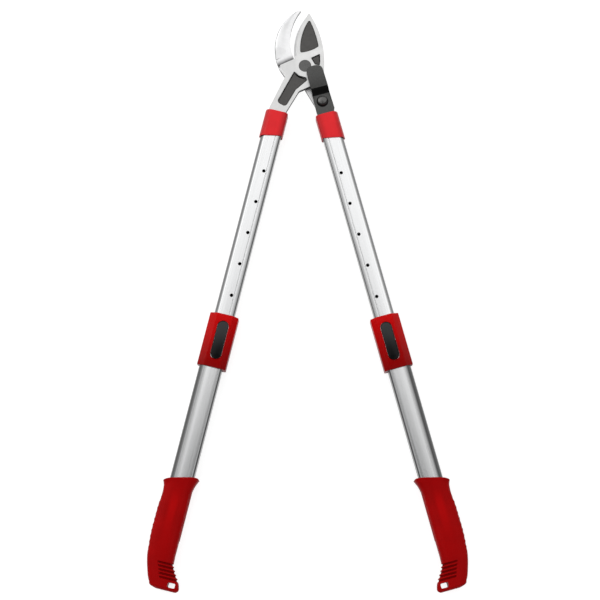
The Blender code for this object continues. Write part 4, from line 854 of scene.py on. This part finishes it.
def make_blade():
    """A wedge-ground blade joined to a flat shank, with pockets for the panels and the pivot's head."""
    shares = (0, 0, 0.25, 0.75, 1)
    heights = (-PLATE_FRONT, BLADE_FRONT, BLADE_FRONT + 0.0003, PLATE_FRONT - 0.0003, PLATE_FRONT)
    body = closed_through([level(shank_outline(share * STEP_RUN), z) for share, z in zip(shares, heights)])
    ground = ((0, -PLATE_FRONT), (0, -PLATE_FRONT + EDGE_HEIGHT), (BEVEL_REACH, BLADE_FRONT))
    wedge = closed_through([level(blade_outline(inset), z) for inset, z in ground])
    panels = {
        "blade_inlay": (blade_inlay_outline(), BLADE_FRONT, 0),
        "web_inlay": (web_inlay_outline(), PLATE_FRONT, PANEL_GROOVE),
        "shank_inlay": (shank_inlay_outline(), PLATE_FRONT, PANEL_GROOVE),
    }
    over = PLATE_FRONT + CLEAR
    cuts = [plate(circle(PIVOT_BORE), -over, over), plate(drive_slot_outline(), -over, over)]
    cuts += [plate(circle(RIVET_HOLE, left_arm_point(0, along), 32), -over, over) for along in RIVET_ALONG]
    cuts.append(plate(circle(PIVOT_HEAD + GAP), PLATE_FRONT - PIVOT_HEAD_POCKET, over))
    cuts += [plate(outline, front - POCKET_DEPTH, over) for outline, front, _ in panels.values()]
    blade = carved_piece("blade_forging", in_head, body, joined=[wedge], cut=cuts)
    soften(blade, 0.00035, 3, 35)
    fit(blade, "blade_side", "blade", STEEL)
    normals, centres = face_values(blade, "normal"), face_values(blade, "center")
    bevel = (np.abs(normals[:, 2]) > 0.2) & (np.abs(normals[:, 2]) < 0.9) & (centres[:, 1] > PIVOT[1] + HEEL[1])
    # Painted shade: walls that face down and to the right, such as the lug's lower wall, are coated near black
    shoulder = normals @ (0.5, -0.87, 0) > 0.4
    repaint(blade, (GROUND_BEVEL, bevel & (normals[:, 0] < -0.3)), (PAINTED_SHADE_BLACK, shoulder))
    for node, (outline, front, groove) in panels.items():
        seat = front - SEAT_DEPTH
        rings = [level(drawn_in(outline, GAP), seat), level(drawn_in(outline, GAP), seat + 0.0002)]
        for inset, rise in PANEL_EDGE:
            # The rings shift down, so that the rim and its groove, which carry painted shadow, are wider above a
            # panel than below it
            down = 0.5 * (inset - GAP) + 1.6 * groove
            rings.append(level(drawn_in(outline, inset + groove) - (0, down), seat + rise))
        panel = mesh_piece(f"{node}_panel", in_head(closed_through(rings)))
        fit(panel, "blade_side", node, INLAY)
        # Painted shadow: the panel's low rim and groove are near black, as the shade in its pocket
        repaint(panel, (PAINTED_SHADOW_ENAMEL, face_values(panel, "center")[:, 2] < MIDDLE_PLANE + seat + 0.0007))
        panel.data.set_sharp_from_angle(angle=math.radians(40))


def hook_outline():
    """Outer curve, boss and tail, then back up the throat to the blunt tip."""
    length = np.hypot(*BOLT)
    heading = math.atan2(BOLT[1], BOLT[0])
    flare = math.acos((BOSS_RADIUS - TAIL_RADIUS) / length)
    throat = BOSS_RADIUS * np.array((math.cos(THROAT_ANGLE), math.sin(THROAT_ANGLE)))
    return np.concatenate(
        [
            arc(HOOK_TIP, SHOULDER_FOOT, HOOK_BULGE, 96),
            [SHOULDER_FOOT],
            circle_part((0, 0), BOSS_RADIUS, heading - flare, heading - flare, 0),
            circle_part(BOLT, TAIL_RADIUS, heading - flare, heading + flare, 40),
            circle_part((0, 0), BOSS_RADIUS, heading + flare, THROAT_ANGLE, 40)[:-1],
            arc(throat, HOOK_NOSE, THROAT_BULGE, 72),
            [HOOK_NOSE],
        ]
    )


def ridge_lines():
    """The foot of the raised back, along its outer curve and along the blade's path, point for point."""
    throat = 0.021 * np.array((math.cos(THROAT_ANGLE + 0.02), math.sin(THROAT_ANGLE + 0.02)))
    back = arc(HOOK_TIP, SHOULDER_FOOT, HOOK_BULGE, 144)[5:]
    inner = arc(throat, HOOK_NOSE, THROAT_BULGE, 144)[:-12]
    back, inner = back[back[:, 1] > 0.012], inner[inner[:, 1] > 0.012]
    back = back + unit(np.array((0.026, 0.032)) - back) * 0.0006
    inner = inner - unit(np.array((0.058, 0.045)) - inner) * 0.0052
    places, inner_places = np.linspace(0, 1, len(back)), np.linspace(1, 0, len(inner))[::-1]
    paired = [np.interp(places, inner_places, inner[::-1, axis]) for axis in (0, 1)]
    return back, np.stack(paired, axis=1)


def scoop():
    """The hollow beside the shoulder's edge: its depth falls as a cube of the way from that edge."""
    heel, shoulder = np.array(HEEL), np.array(SHOULDER)
    way = unit(shoulder - heel)
    off = np.array((way[1], -way[0]))
    share = np.linspace(0, 1, 33)
    dish = np.stack([SCOOP_REACH * share, HOOK_FRONT - SCOOP_DEPTH * (1 - share) ** 3], axis=1)
    top = HOOK_FRONT + HOOK_RIDGE + CLEAR
    profile = np.concatenate([dish, [(SCOOP_REACH, top), (-SCOOP_BACK, top), (-SCOOP_BACK, HOOK_FRONT)]])
    ends = (heel - way * CLEAR, shoulder + way * SCOOP_REACH)
    return closed_through([np.column_stack([end + off * profile[:, :1], profile[:, 1]]) for end in ends])


def make_hook():
    """The hook with its crowned back and the round relief about the pivot."""
    back, inner = ridge_lines()
    height = HOOK_RIDGE * smooth_step(np.hypot(*(inner - back).T) / 0.015)
    height = np.concatenate([height, height[::-1]])
    foot = np.column_stack([np.concatenate([back, inner[::-1]]), np.full(len(height), HOOK_FRONT - 0.002)])
    rings = [foot]
    for share in (0, 0.06, 0.15, 0.3, 0.5, 0.7, 0.85, 0.94, 1):
        rise = 0.5 * share + 0.5 * smooth_step(share)
        outer_line = back + (inner - back) * 0.1 * (1 - math.sqrt(1 - rise**2))
        inner_line = inner + (back - inner) * 0.7 * share
        rings.append(np.column_stack([np.concatenate([outer_line, inner_line[::-1]]), HOOK_FRONT + height * rise]))
    relief = []
    for part in np.linspace(0, 1, 17):
        relief.append((RELIEF_RADIUS + RELIEF_RUN * part, HOOK_FRONT + HOOK_RIDGE * smooth_step(part)))
    relief.append((RELIEF_RADIUS + RELIEF_RUN, HOOK_FRONT + HOOK_RIDGE + CLEAR))
    over = (HOOK_BACK - CLEAR, HOOK_FRONT + CLEAR)
    cuts = [lathe(relief, steps=160), plate(circle(PIVOT_BORE), *over), plate(circle(LEVER_BORE, BOLT), *over)]
    cuts.append(scoop())
    slab = plate(hook_outline(), HOOK_BACK, HOOK_FRONT)
    hook = carved_piece("hook_forging", in_head, slab, joined=[closed_through(rings)], cut=cuts)
    # Painted shade: the rounded edges take the second material, as do the side walls and the raised back's steep
    # faces, a dark steel that stands in for the shade on them
    soften(hook, 0.0007, 3, 35, material=1)
    fit(hook, "hook_side", "hook", HOOK_STEEL)
    looks = face_values(hook, "normal")[:, 2]
    high = face_values(hook, "center")[:, 2] > MIDDLE_PLANE + HOOK_FRONT + 0.0001
    repaint(hook, (EDGE_SHADE_STEEL, (np.abs(looks) < 0.2) | high & (looks < 0.75)))


def nut(name, place, flats, front, height, bore):
    """A hexagon with its corners turned off at both ends, and its bore."""
    corner = flats / math.sqrt(3)
    back = front - height
    hexagon = plate(circle(corner, place, 6), back, front)
    turn_off, outer = flats * 0.5 + 0.0003, corner + 0.0002
    cone = [(turn_off, back), (outer, back + 0.0007), (outer, front - 0.0007), (turn_off, front)]
    hole = plate(circle(bore, place), back - CLEAR, front + CLEAR)
    return soften(carved_piece(name, in_head, hexagon, kept=[lathe(cone, place)], cut=[hole]), 0.00018, 2, 20)


def threaded_shank(radius, end):
    """The profile of a bolt's chamfered end and its threads, up to the hook's back."""
    shank = [(radius - 0.0007, end), (radius, end + 0.0007)]
    for index, z in enumerate(np.arange(end + 0.0009, HOOK_BACK - 0.001, THREAD_PITCH)):
        shank.append((radius - THREAD_DEPTH * (index % 2), z))
    return shank


def make_fasteners():
    """The flush pivot bolt, the domed lever bolt, and their washers and nuts behind the hook."""
    seat = PLATE_FRONT - PIVOT_HEAD_SEAT
    flush = [(PIVOT_HEAD, seat), (PIVOT_HEAD, PLATE_FRONT - 0.0003), (0.0092, PLATE_FRONT), (0.0090, PLATE_FRONT)]
    flush.append((0.0010, PLATE_FRONT))
    domed = [(0.0074, LOBE_BACK), (LEVER_HEAD, LOBE_BACK + 0.0002)]
    for turn in np.linspace(0.08, 0.97, 14) * math.pi / 2:
        domed.append((LEVER_HEAD * math.cos(turn), LOBE_BACK + LEVER_HEAD_RISE * math.sin(turn)))
    for prefix, body, place, radius, head, washer_radius, flats, height in (
        ("pivot", "blade_side", (0, 0), 0.005, flush, 0.0088, 0.016, 0.004),
        ("lever", "hook_side", tuple(BOLT), 0.004, domed, 0.0075, 0.013, 0.0035),
    ):
        front = HOOK_BACK - GAP
        ring = plate(circle(washer_radius, place), front - WASHER_THICKNESS, front)
        hole = plate(circle(radius + GAP, place), front - 0.003, front + CLEAR)
        washer = soften(carved_piece(f"{prefix}_washer_ring", in_head, ring, cut=[hole]), 0.0002, 2)
        fit(washer, body, f"{prefix}_washer", ZINC)
        front -= WASHER_THICKNESS + GAP
        hexagon = nut(f"{prefix}_nut_hexagon", place, flats, front, height, radius + GAP)
        fit(hexagon, body, f"{prefix}_nut", ZINC)
        profile = threaded_shank(radius, front - height - 0.0008) + [(radius, head[0][1])] + head
        bolt = mesh_piece(f"{prefix}_bolt_turning", in_head(lathe(profile, place)))
        bolt.data.set_sharp_from_angle(angle=math.radians(35))
        fit(bolt, body, f"{prefix}_bolt", PIVOT_COAT)
        if prefix == "lever":
            # Painted shadow: the dome's faces that turn away from the light are near black
            shaded = face_values(bolt, "normal") @ (-0.2, 0.45, 1) < 0.74
            repaint(bolt, (PAINTED_SHADOW_ENAMEL, shaded & (face_values(bolt, "center")[:, 2] > MIDDLE_PLANE + LOBE_BACK)))


def make_drive_lever():
    """A squared lobe, a smooth joggle down to the tang's level, and the tang."""
    turn = np.linspace(0, math.pi, 49)
    across = LOBE_HALF_WIDTH * np.sign(np.cos(turn)) * np.abs(np.cos(turn)) ** LOBE_SQUARENESS - 0.0006
    rise = LOBE_HEIGHT * np.abs(np.sin(turn)) ** LOBE_SQUARENESS - 0.0124
    tang = [(-TANG_HALF_WIDTH, LEVER_NECK), (-TANG_HALF_WIDTH, LEVER_END)]
    tang += [(TANG_HALF_WIDTH, LEVER_END), (TANG_HALF_WIDTH, LEVER_NECK)]
    outline = np.concatenate(
        [
            np.stack([across, rise], axis=1),
            arc((-0.0148, -0.0735), tang[0], 0.0006, 6),
            tang,
            arc(tang[-1], (0.0136, -0.0735), 0.0003, 6)[1:],
            [(0.0136, -0.0735)],
        ]
    )
    run = np.linspace(0, 1, 15)
    drop = 0.6 * run + 0.4 * smooth_step(run)
    front = np.stack([JOGGLE_FRONT - JOGGLE_RUN * run, LOBE_FRONT + (PLATE_FRONT - LOBE_FRONT) * drop], axis=1)
    back = np.stack([JOGGLE_BACK - JOGGLE_RUN * run, LOBE_BACK + (-PLATE_FRONT - LOBE_BACK) * drop], axis=1)
    ends = [(LEVER_END - CLEAR, -PLATE_FRONT), (LEVER_END - CLEAR, PLATE_FRONT)]
    side_view = np.concatenate([[(0.01, LOBE_BACK)], back, ends, front[::-1], [(0.01, LOBE_FRONT)]])
    sweep = closed_through([np.column_stack([np.full(len(side_view), x), side_view]) for x in (-0.03, 0.03)])
    counterbore = circle(COUNTERBORE_RADIUS, (0.0005, -LEVER_BOLT_ALONG - 0.0009))
    cuts = [plate(circle(LEVER_BORE, (0, -LEVER_BOLT_ALONG)), -0.01, 0.012)]
    cuts.append(plate(circle(DRIVE_PIN_BORE, (0, -DRIVE_PIN_ALONG)), LOBE_BACK - CLEAR, LOBE_BACK + DRIVE_PIN_DEPTH))
    cuts.append(plate(counterbore, PLATE_FRONT - COUNTERBORE_DEPTH, PLATE_FRONT + CLEAR))
    cuts += [plate(circle(RIVET_HOLE, (0, -along - 0.0042), 32), -0.01, 0.01) for along in RIVET_ALONG]
    blank = plate(outline, -PLATE_FRONT - 0.002, LOBE_FRONT + 0.002)
    lever = carved_piece("drive_lever_forging", in_lever, blank, kept=[sweep], cut=cuts)
    # Painted shade: the rounded edges, the joggle's sloping faces and the counterbore about the lever bolt take the
    # near-black second material, which stands in for the shade on them
    soften(lever, 0.0009, 3, 40, material=1)
    fit(lever, "drive_side", "drive_lever", LEVER_COAT)
    looks, centres = face_values(lever, "normal")[:, 2], face_values(lever, "center")
    recessed = np.hypot(*(centres[:, :2] - LEVER_BOLT[:2]).T) < 0.01
    recessed &= np.abs(centres[:, 2] - MIDDLE_PLANE) < PLATE_FRONT - 0.0001
    repaint(lever, (PAINTED_SHADE_BLACK, (looks > 0.3) & (looks < 0.97) | recessed))


# Arms


def walled(sizes, wall, start, end, groove=False):
    """A tube's outer and inner wall as one skin: the section out along the arm, and a smaller one back."""
    outer, inner = tube_section(sizes, 0.0, groove), tube_section(sizes, -wall)
    ways = ((outer, start), (outer, end), (inner, end), (inner, start))
    return closed_through([section_at(section, along) for section, along in ways], looped=True)


def make_tubes(side):
    """The upper tube with its locking holes, and the wider lower one."""
    cuts = []
    for index in range(HOLE_COUNT):
        cuts.append(plate(circle(HOLE_RADIUS, (LOCK_ACROSS, -FIRST_HOLE - index * HOLE_PITCH), 40), 0, 0.013))
    cuts += [plate(circle(RIVET_HOLE, (0, -along), 24), -0.013, 0.013) for along in RIVET_ALONG]
    extrusion = walled(UPPER, UPPER_WALL, UPPER_START, UPPER_END, groove=True)
    upper = carved_piece(f"{side}_upper_extrusion", in_arm(side), extrusion, cut=cuts)
    soften(upper, 0.0003, 2, 50)
    fit(upper, ARM_BODY[side], f"{side}_upper_tube", TUBE_METAL[side, "upper"])
    extrusion = walled(LOWER, LOWER_WALL, LOWER_START, LOWER_END)
    hole = plate(circle(LOWER_HOLE, (LOCK_ACROSS, -LOCK_HOLE), 40), 0, 0.015)
    lower = carved_piece(f"{side}_lower_extrusion", in_arm(side), extrusion, cut=[hole])
    soften(lower, 0.00025, 2, 50)
    fit(lower, f"{side}_handle", f"{side}_lower_tube", TUBE_METAL[side, "lower"])


def make_collar(side):
    """A cap with a rounded top edge: its section grows as a quarter circle, then runs to a slanted foot."""
    wall = GAP + COLLAR_WALL
    rings = []
    for turn in np.linspace(0, math.pi / 2, 7):
        section = tube_section(UPPER, wall - COLLAR_ROUND * (1 - math.sin(turn)))
        rings.append(section_at(section, COLLAR_TOP + COLLAR_ROUND * (1 - math.cos(turn))))
    section = tube_section(UPPER, wall)
    rings.append(section_at(section, COLLAR_FOOT - COLLAR_SLANT * section[:, 0]))
    cuts = [carried(tube_section(UPPER, GAP), COLLAR_TOP + 0.003, COLLAR_FOOT + 0.01)]
    cuts.append(carried(rectangle(*TANG_SLOT), COLLAR_TOP - 0.01, COLLAR_TOP + 0.004))
    collar = carved_piece(f"{side}_collar_moulding", in_arm(side), closed_through(rings), cut=cuts)
    soften(collar, 0.00045, 3, 50)
    fit(collar, ARM_BODY[side], f"{side}_collar", COLLAR_RED[side])


def clamp_ring(along, drop, inset):
    """The housing's eight-sided section with round corners, its front lowered and all of it drawn in."""
    front = CLAMP_FRONT - drop
    corners = [(-0.0096, CLAMP_BACK), (0.0144, CLAMP_BACK), (0.0228, -0.0095), (0.0228, 0.0095)]
    corners += [(0.0144, front), (-0.0096, front), (-0.0210, 0.0060), (-0.0210, -0.0060)]
    section = rounded(corners, 0.0016, 5)
    return section_at(drawn_in(section, inset) if inset else section, along)


def make_clamp(side):
    """The housing: its section along the arm, with ramps at both ends, a rimmed window and two bores."""
    rings = [clamp_ring(CLAMP_TOP + top, drop, inset) for top, _, drop, inset in CLAMP_RINGS]
    rings += [clamp_ring(CLAMP_FOOT - foot, drop, inset) for _, foot, drop, inset in CLAMP_RINGS[::-1]]
    middle = (LOCK_ACROSS, -LOCK_AXLE)
    rim = [level(capsule(WINDOW_HALF_SPAN, radius, middle), CLAMP_FRONT + rise) for radius, rise in WINDOW_RIM]
    window = capsule(WINDOW_HALF_SPAN, WINDOW_RADIUS, middle)
    cuts = [carried(tube_section(UPPER, GAP), CLAMP_TOP - CLEAR, CLAMP_TOP + 0.007)]
    cuts.append(carried(tube_section(LOWER, GAP), CLAMP_TOP + 0.006, CLAMP_FOOT + CLEAR))
    cuts += [plate(window, 0, CLAMP_FRONT + 0.003), cross_bar(AXLE_BORE, CLAMP_AXLE_BORE_REACH)]
    housing, rim = closed_through(rings), closed_through(rim)
    clamp = carved_piece(f"{side}_clamp_moulding", in_arm(side), housing, joined=[rim], cut=cuts)
    soften(clamp, 0.0003, 2, 40)
    fit(clamp, f"{side}_handle", f"{side}_clamp", CLAMP_RED)


def cross_bar(radius, half_length):
    """A round bar across the arm on the lock lever's axis."""
    ring = circle(radius, (-LOCK_AXLE, LOCK_AXLE_Z), 32)
    ends = (LOCK_ACROSS - half_length, LOCK_ACROSS + half_length)
    return closed_through([np.column_stack([np.full(len(ring), across), ring]) for across in ends])


def make_lock_lever(side):
    """A rocker: rings shrink from its round-ended plan to its spine, on a roofed and crowned height."""
    plan = capsule(WINDOW_HALF_SPAN, ROCKER_RADIUS, steps=32)
    spine = np.column_stack([np.zeros(len(plan)), np.clip(plan[:, 1], -WINDOW_HALF_SPAN, WINDOW_HALF_SPAN)])

    def top(points, share):
        """The roof falls to both ends and the crown falls to the rim."""
        reach = np.abs(points[:, 1]) / (WINDOW_HALF_SPAN + ROCKER_RADIUS)
        return ROCKER_TOP - ROCKER_FALL * reach**1.6 - ROCKER_CROWN * share**2

    def under(points):
        """Flat, with a hub about the axle."""
        return np.interp(np.abs(points[:, 1]), (0.0035, 0.0070), (0.0140, 0.0166))

    rings = []
    for share in (0, 0.2, 0.4, 0.6, 0.75, ROCKER_FLAT):
        points = spine + (plan - spine) * share
        rings.append(np.column_stack([points, top(points, share)]))
    for turn in np.linspace(0.12, 1, 6) * math.pi / 2:
        points = spine + (plan - spine) * (ROCKER_FLAT + (1 - ROCKER_FLAT) * math.sin(turn))
        rings.append(np.column_stack([points, top(points, ROCKER_FLAT) - ROCKER_ROUND * (1 - math.cos(turn))]))
    for share in (1, 0.96, 0.6, 0.3, 0):
        points = spine + (plan - spine) * share
        rings.append(np.column_stack([points, under(points) + (0.0003 if share == 1 else 0)]))
    points, faces = closed_through(np.array(rings) + (LOCK_ACROSS, -LOCK_AXLE, 0))
    cuts = [cross_bar(AXLE_BORE, ROCKER_AXLE_BORE_REACH)]
    cuts.append(plate(circle(PIN_BORE, (LOCK_ACROSS, -LOCK_HOLE), 32), 0.013, 0.0189))
    cuts.append(plate(circle(SPRING_WELL, SPRING_PLACE, 32), 0.013, 0.0195))
    lever = carved_piece(f"{side}_lock_rocker", in_arm(side), (points, faces[:-2]), cut=cuts)
    lever.data.set_sharp_from_angle(angle=math.radians(40))
    fit(lever, f"{side}_lock", f"{side}_lock_lever", BLACK)


def make_spring(side):
    """A coil: a small circle carried along a helix with closed ends, in the plane across its way."""
    turn = np.linspace(0, 2 * math.pi * SPRING_TURNS, SPRING_TURNS * 32 + 1)
    rise = np.clip((turn - math.pi / 2) / (turn[-1] - math.pi), 0, 1)
    height = SPRING_LOW + (SPRING_HIGH - SPRING_LOW) * rise
    path = np.stack([SPRING_RADIUS * np.cos(turn), SPRING_RADIUS * np.sin(turn), height], axis=1)
    outward = np.stack([np.cos(turn), np.sin(turn), np.zeros(len(turn))], axis=1)
    way = np.gradient(path, axis=0)
    way /= np.linalg.norm(way, axis=1)[:, None]
    upward = np.cross(way, outward)
    cos, sin = circle(1, steps=12).T[:, None, :, None]
    rings = path[:, None] + SPRING_WIRE_RADIUS * (cos * outward[:, None] + sin * upward[:, None])
    coil = carved_piece(f"{side}_lock_coil", in_arm(side), closed_through(rings + (*SPRING_PLACE, 0)))
    fit(coil, f"{side}_handle", f"{side}_lock_spring", SPRING_WIRE)


# Grips


def swell(places, fraction):
    """A cubic curve through (fraction, stand-out) places, its slopes taken from their neighbours."""
    at, height = np.array(places).T
    slopes = np.gradient(height, at)
    place = np.clip(np.searchsorted(at, fraction) - 1, 0, len(at) - 2)
    span = at[place + 1] - at[place]
    part = (fraction - at[place]) / span
    blend = part * part * (3 - 2 * part)
    lean = part * (1 - part) * ((1 - part) * slopes[place] - part * slopes[place + 1]) * span
    return height[place] * (1 - blend) + height[place + 1] * blend + lean


def grip_reaches(depth):
    """How far the grip reaches to its outer and inner side and to its front, at a depth from its mouth."""
    fraction = np.clip(depth / GRIP_LENGTH, 0, 1)
    outer, inner = (SOCKET_HALF_WIDTH + swell(table, fraction) for table in (GRIP_OUTER, GRIP_INNER))
    return outer, inner, SOCKET_HALF_DEPTH + swell(GRIP_DEEP, fraction)


def nearest_notch(depth):
    """The number of the notch nearest to a depth."""
    return np.clip(np.round((depth - NOTCH_START) / NOTCH_PITCH), 0, LAST_NOTCH)


def grip_skin(depth, turn):
    """(across, z) of the grip at a depth from its mouth and an angle about its middle.

    A superellipse about the socket, whose inner, outer and front reaches follow their own curves. Ribs
    wave the outer side, and five notches dip the inner side.
    """
    outer, inner, deep = grip_reaches(depth)
    squareness = 0.48 + 0.22 * np.clip((depth - 0.086) / 0.0735, 0, 1)
    cos = np.sign(np.cos(turn)) * np.abs(np.cos(turn)) ** squareness
    sin = np.sign(np.sin(turn)) * np.abs(np.sin(turn)) ** squareness
    across = (inner - outer) / 2 + (inner + outer) / 2 * cos
    ribs = smooth_step((depth - RIB_START) / 0.006) * smooth_step((RIB_END - depth) / 0.006)
    wave = 0.5 + 0.5 * np.cos((depth - 0.0298) / RIB_PITCH * 2 * math.pi)
    across += RIB_HEIGHT * ribs * (1 - wave**2) * np.clip(-cos, 0, 1) ** 2
    nearest = nearest_notch(depth)
    off = np.abs((depth - NOTCH_START) / NOTCH_PITCH - nearest) * NOTCH_PITCH
    start = -0.16 - 0.015 * nearest
    notch = smooth_step((0.0018 - off) / 0.0007) * smooth_step((cos - start) / 0.10)
    z = deep * sin - NOTCH_DEPTH * notch * sin
    across -= NOTCH_DEPTH * notch * np.clip(cos, 0, 1)
    return np.stack([across, z], axis=1)


def grip_end_inset(depth):
    """How far the last rings draw in, as a quarter circle seen from the side."""
    back = np.clip(1 - (GRIP_LENGTH - depth) / GRIP_END_RUN, 0, 1)
    return GRIP_END_INSET * (1 - np.sqrt(np.clip(1 - back**2, 0, 1)))


def grip_ring(flat, depth):
    """A ring at a depth, which leans and arches near the mouth as the mouth does."""
    lean = np.clip(1 - depth / 0.014, 0, 1)
    arch = 0.256 * flat[:, 0] + 0.004 * (flat[:, 1] / 0.0189) ** 2
    return np.column_stack([flat[:, 0], -GRIP_MOUTH - depth + lean * arch, flat[:, 1]])


def socket_bore(turn):
    """The socket's section, read at each angle about its middle."""
    socket = tube_section(LOWER, GAP, nose_steps=80, corner_steps=20)
    angle = np.arctan2(socket[:, 1], socket[:, 0]) % (2 * math.pi)
    order = np.argsort(angle)
    radius = np.interp(turn, angle[order], np.hypot(socket[:, 0], socket[:, 1])[order], period=2 * math.pi)
    return np.stack([radius * np.cos(turn), radius * np.sin(turn)], axis=1)


def make_grip(side):
    """Socket wall, mouth rim and outer skin as one surface, with the hanging slot cut through its end.

    A low crest runs down the front: it is what the height keeps when it shrinks away from the middle.
    """
    turn = np.linspace(0, 2 * math.pi, 145)[:-1]
    bore, mouth = socket_bore(turn), grip_skin(np.zeros(len(turn)), turn)
    rings = [grip_ring(bore * 0.02, GRIP_SOCKET)]
    rings += [grip_ring(bore, depth) for depth in (GRIP_SOCKET, 0.02, 0.0008)]
    for share, depth in ((0.12, 0.0003), (0.35, 0.0), (0.75, 0.0), (0.93, 0.00025), (0.99, 0.0008)):
        rings.append(grip_ring(bore + (mouth - bore) * share, depth))
    depths = np.concatenate(
        [
            np.linspace(0.0016, 0.026, 18),
            np.arange(0.0268, 0.1165, 0.0007),
            np.arange(0.1172, 0.1455, 0.00025),
            np.linspace(0.146, GRIP_LENGTH - GRIP_END_RUN, 12),
            GRIP_LENGTH - GRIP_END_RUN * np.cos(np.linspace(0.15, 1, 8) * math.pi / 2),
        ]
    )
    for depth in depths:
        skin = grip_skin(np.full(len(turn), depth), turn)
        crest = 0.05 + 0.15 * smooth_step((0.10 - depth) / 0.05)
        skin[:, 1] *= 1 - crest * np.abs(np.cos(turn)) ** 1.3 * smooth_step(depth / 0.008)
        middle = skin.mean(axis=0)
        size = np.ptp(skin[:, 0]) / 2
        skin = middle + (skin - middle) * (1 - grip_end_inset(depth) / size * np.array((1, 2.2)))
        rings.append(grip_ring(skin, depth))
    hanging = plate(rounded(rectangle(*HANGING_SLOT, HANGING_PLACE), HANGING_CORNER), -0.03, 0.03)
    skin = closed_through(rings, fanned=True)
    grip = carved_piece(f"{side}_grip_moulding", in_arm(side), skin, cut=[hanging])
    grip.data.set_sharp_from_angle(angle=math.radians(50))
    fit(grip, f"{side}_handle", f"{side}_grip", GRIP_RED[side])
    # Painted shade: the notches' floors take the darker red, as the shade in them
    places = out_of_arm(side, face_values(grip, "center"))
    depth = -places[:, 1] - GRIP_MOUTH
    nearest = nearest_notch(depth)
    outer, inner, _ = grip_reaches(depth)
    start = (inner - outer) / 2 + (inner + outer) / 2 * (-0.13 - 0.015 * nearest)
    grooved = (np.abs(depth - NOTCH_START - NOTCH_PITCH * nearest) < 0.0013) & (places[:, 0] > start)
    repaint(grip, (GRIP_SHADE, grooved))


make_blade()
make_hook()
make_fasteners()
make_drive_lever()
for arm_side in SIDES:
    make_collar(arm_side)
    make_tubes(arm_side)
    make_clamp(arm_side)
    make_lock_lever(arm_side)
    make_spring(arm_side)
    make_grip(arm_side)

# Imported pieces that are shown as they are
for node_name, node in frame["nodes"].items():
    if node.hide_render:
        continue
    node.data.materials.clear()
    node.data.materials.append(BLACK if node_name.endswith("end_plug") else ZINC)


# Studio


def floor_material():
    """Grey card whose own light lifts it to white for the camera, and in mirrors and glass."""
    material = new_material("floor_card", (0.40, 0.40, 0.40), 0.9, 0.0, Specular_IOR_Level=0.1)
    rays = add_node(material, "ShaderNodeLightPath").outputs
    seen = computed(material, "MAXIMUM", rays["Is Camera Ray"], rays["Is Glossy Ray"])
    seen = computed(material, "MAXIMUM", seen, rays["Is Transmission Ray"])
    shader = material.node_tree.nodes["Principled BSDF"]
    shader.inputs["Emission Color"].default_value = (1, 1, 1, 1)
    join(material, computed(material, "MULTIPLY", seen, FLOOR_LIFT), shader.inputs["Emission Strength"])
    return material


def make_floor():
    """A wide card that the lopper lies on."""
    mesh = bpy.data.meshes.new("floor")
    corners = rectangle(FLOOR_REACH, FLOOR_REACH)
    mesh.from_pydata([(*corner, FLOOR_Z) for corner in corners], [], [(0, 1, 2, 3)])
    mesh.materials.append(floor_material())
    card = bpy.data.objects.new("floor", mesh)
    bpy.context.scene.collection.objects.link(card)


def make_sky():
    """A bright ceiling that leans to the head's side, over dark walls and a white horizon.

    A dim oval above the handles takes most of the ceiling's light away there.
    """
    world = bpy.data.worlds.new("studio")
    bpy.context.scene.world = world
    world.use_nodes = True
    background = world.node_tree.nodes["Background"]
    background.inputs["Color"].default_value = (1, 1, 1, 1)
    overhead = place_along(world, CEILING_WAY, "Generated")
    ceiling = remap(world, overhead, 0.18, 0.80, WALL_LIGHT, CEILING_LIGHT, eased=True)
    flatten = add_node(world, "ShaderNodeMapping", vector_type="POINT")
    flatten.inputs["Location"].default_value = (0, OVAL_BACK / OVAL_REACH[1], 0)
    flatten.inputs["Scale"].default_value = (1 / OVAL_REACH[0], 1 / OVAL_REACH[1], 0)
    join(world, add_node(world, "ShaderNodeTexCoord").outputs["Generated"], flatten.inputs["Vector"])
    off_middle = add_node(world, "ShaderNodeVectorMath", operation="LENGTH")
    join(world, flatten.outputs["Vector"], off_middle.inputs[0])
    oval = remap(world, off_middle.outputs["Value"], 0.6, 1.05, OVAL_LIGHT, 1.0, eased=True)
    horizon = remap(world, place_along(world, (0, 0, 1), "Generated"), 0.26, 0.16, 0.0, 1.0, eased=True)
    light = computed(world, "MAXIMUM", computed(world, "MULTIPLY", ceiling, oval), horizon)
    join(world, light, background.inputs["Strength"])


def make_softbox():
    """A large square lamp to the left of the head that looks at the model's origin."""
    light = bpy.data.lights.new("side_softbox", "AREA")
    light.shape = "RECTANGLE"
    light.size = light.size_y = SOFTBOX_SIDE
    light.energy = SOFTBOX_POWER
    lamp = bpy.data.objects.new("side_softbox", light)
    lamp.location = SOFTBOX_PLACE
    lamp.rotation_euler = (-Vector(SOFTBOX_PLACE)).to_track_quat("-Z", "Y").to_euler()
    bpy.context.scene.collection.objects.link(lamp)


def make_camera():
    """A long lens that looks down on the lopper, tilted a little from straight above."""
    camera_data = bpy.data.cameras.new("camera")
    camera_data.lens = LENS
    camera_data.sensor_width = SENSOR
    camera_data.clip_end = 50
    camera = bpy.data.objects.new("camera", camera_data)
    camera.location = PIVOT - CAMERA_AIM + DISTANCE * np.array((0, -math.sin(TILT), math.cos(TILT)))
    camera.rotation_euler = (TILT, 0, 0)
    bpy.context.scene.collection.objects.link(camera)
    bpy.context.scene.camera = camera


make_floor()
make_sky()
make_softbox()
make_camera()
bpy.context.scene.view_settings.view_transform = "Standard"
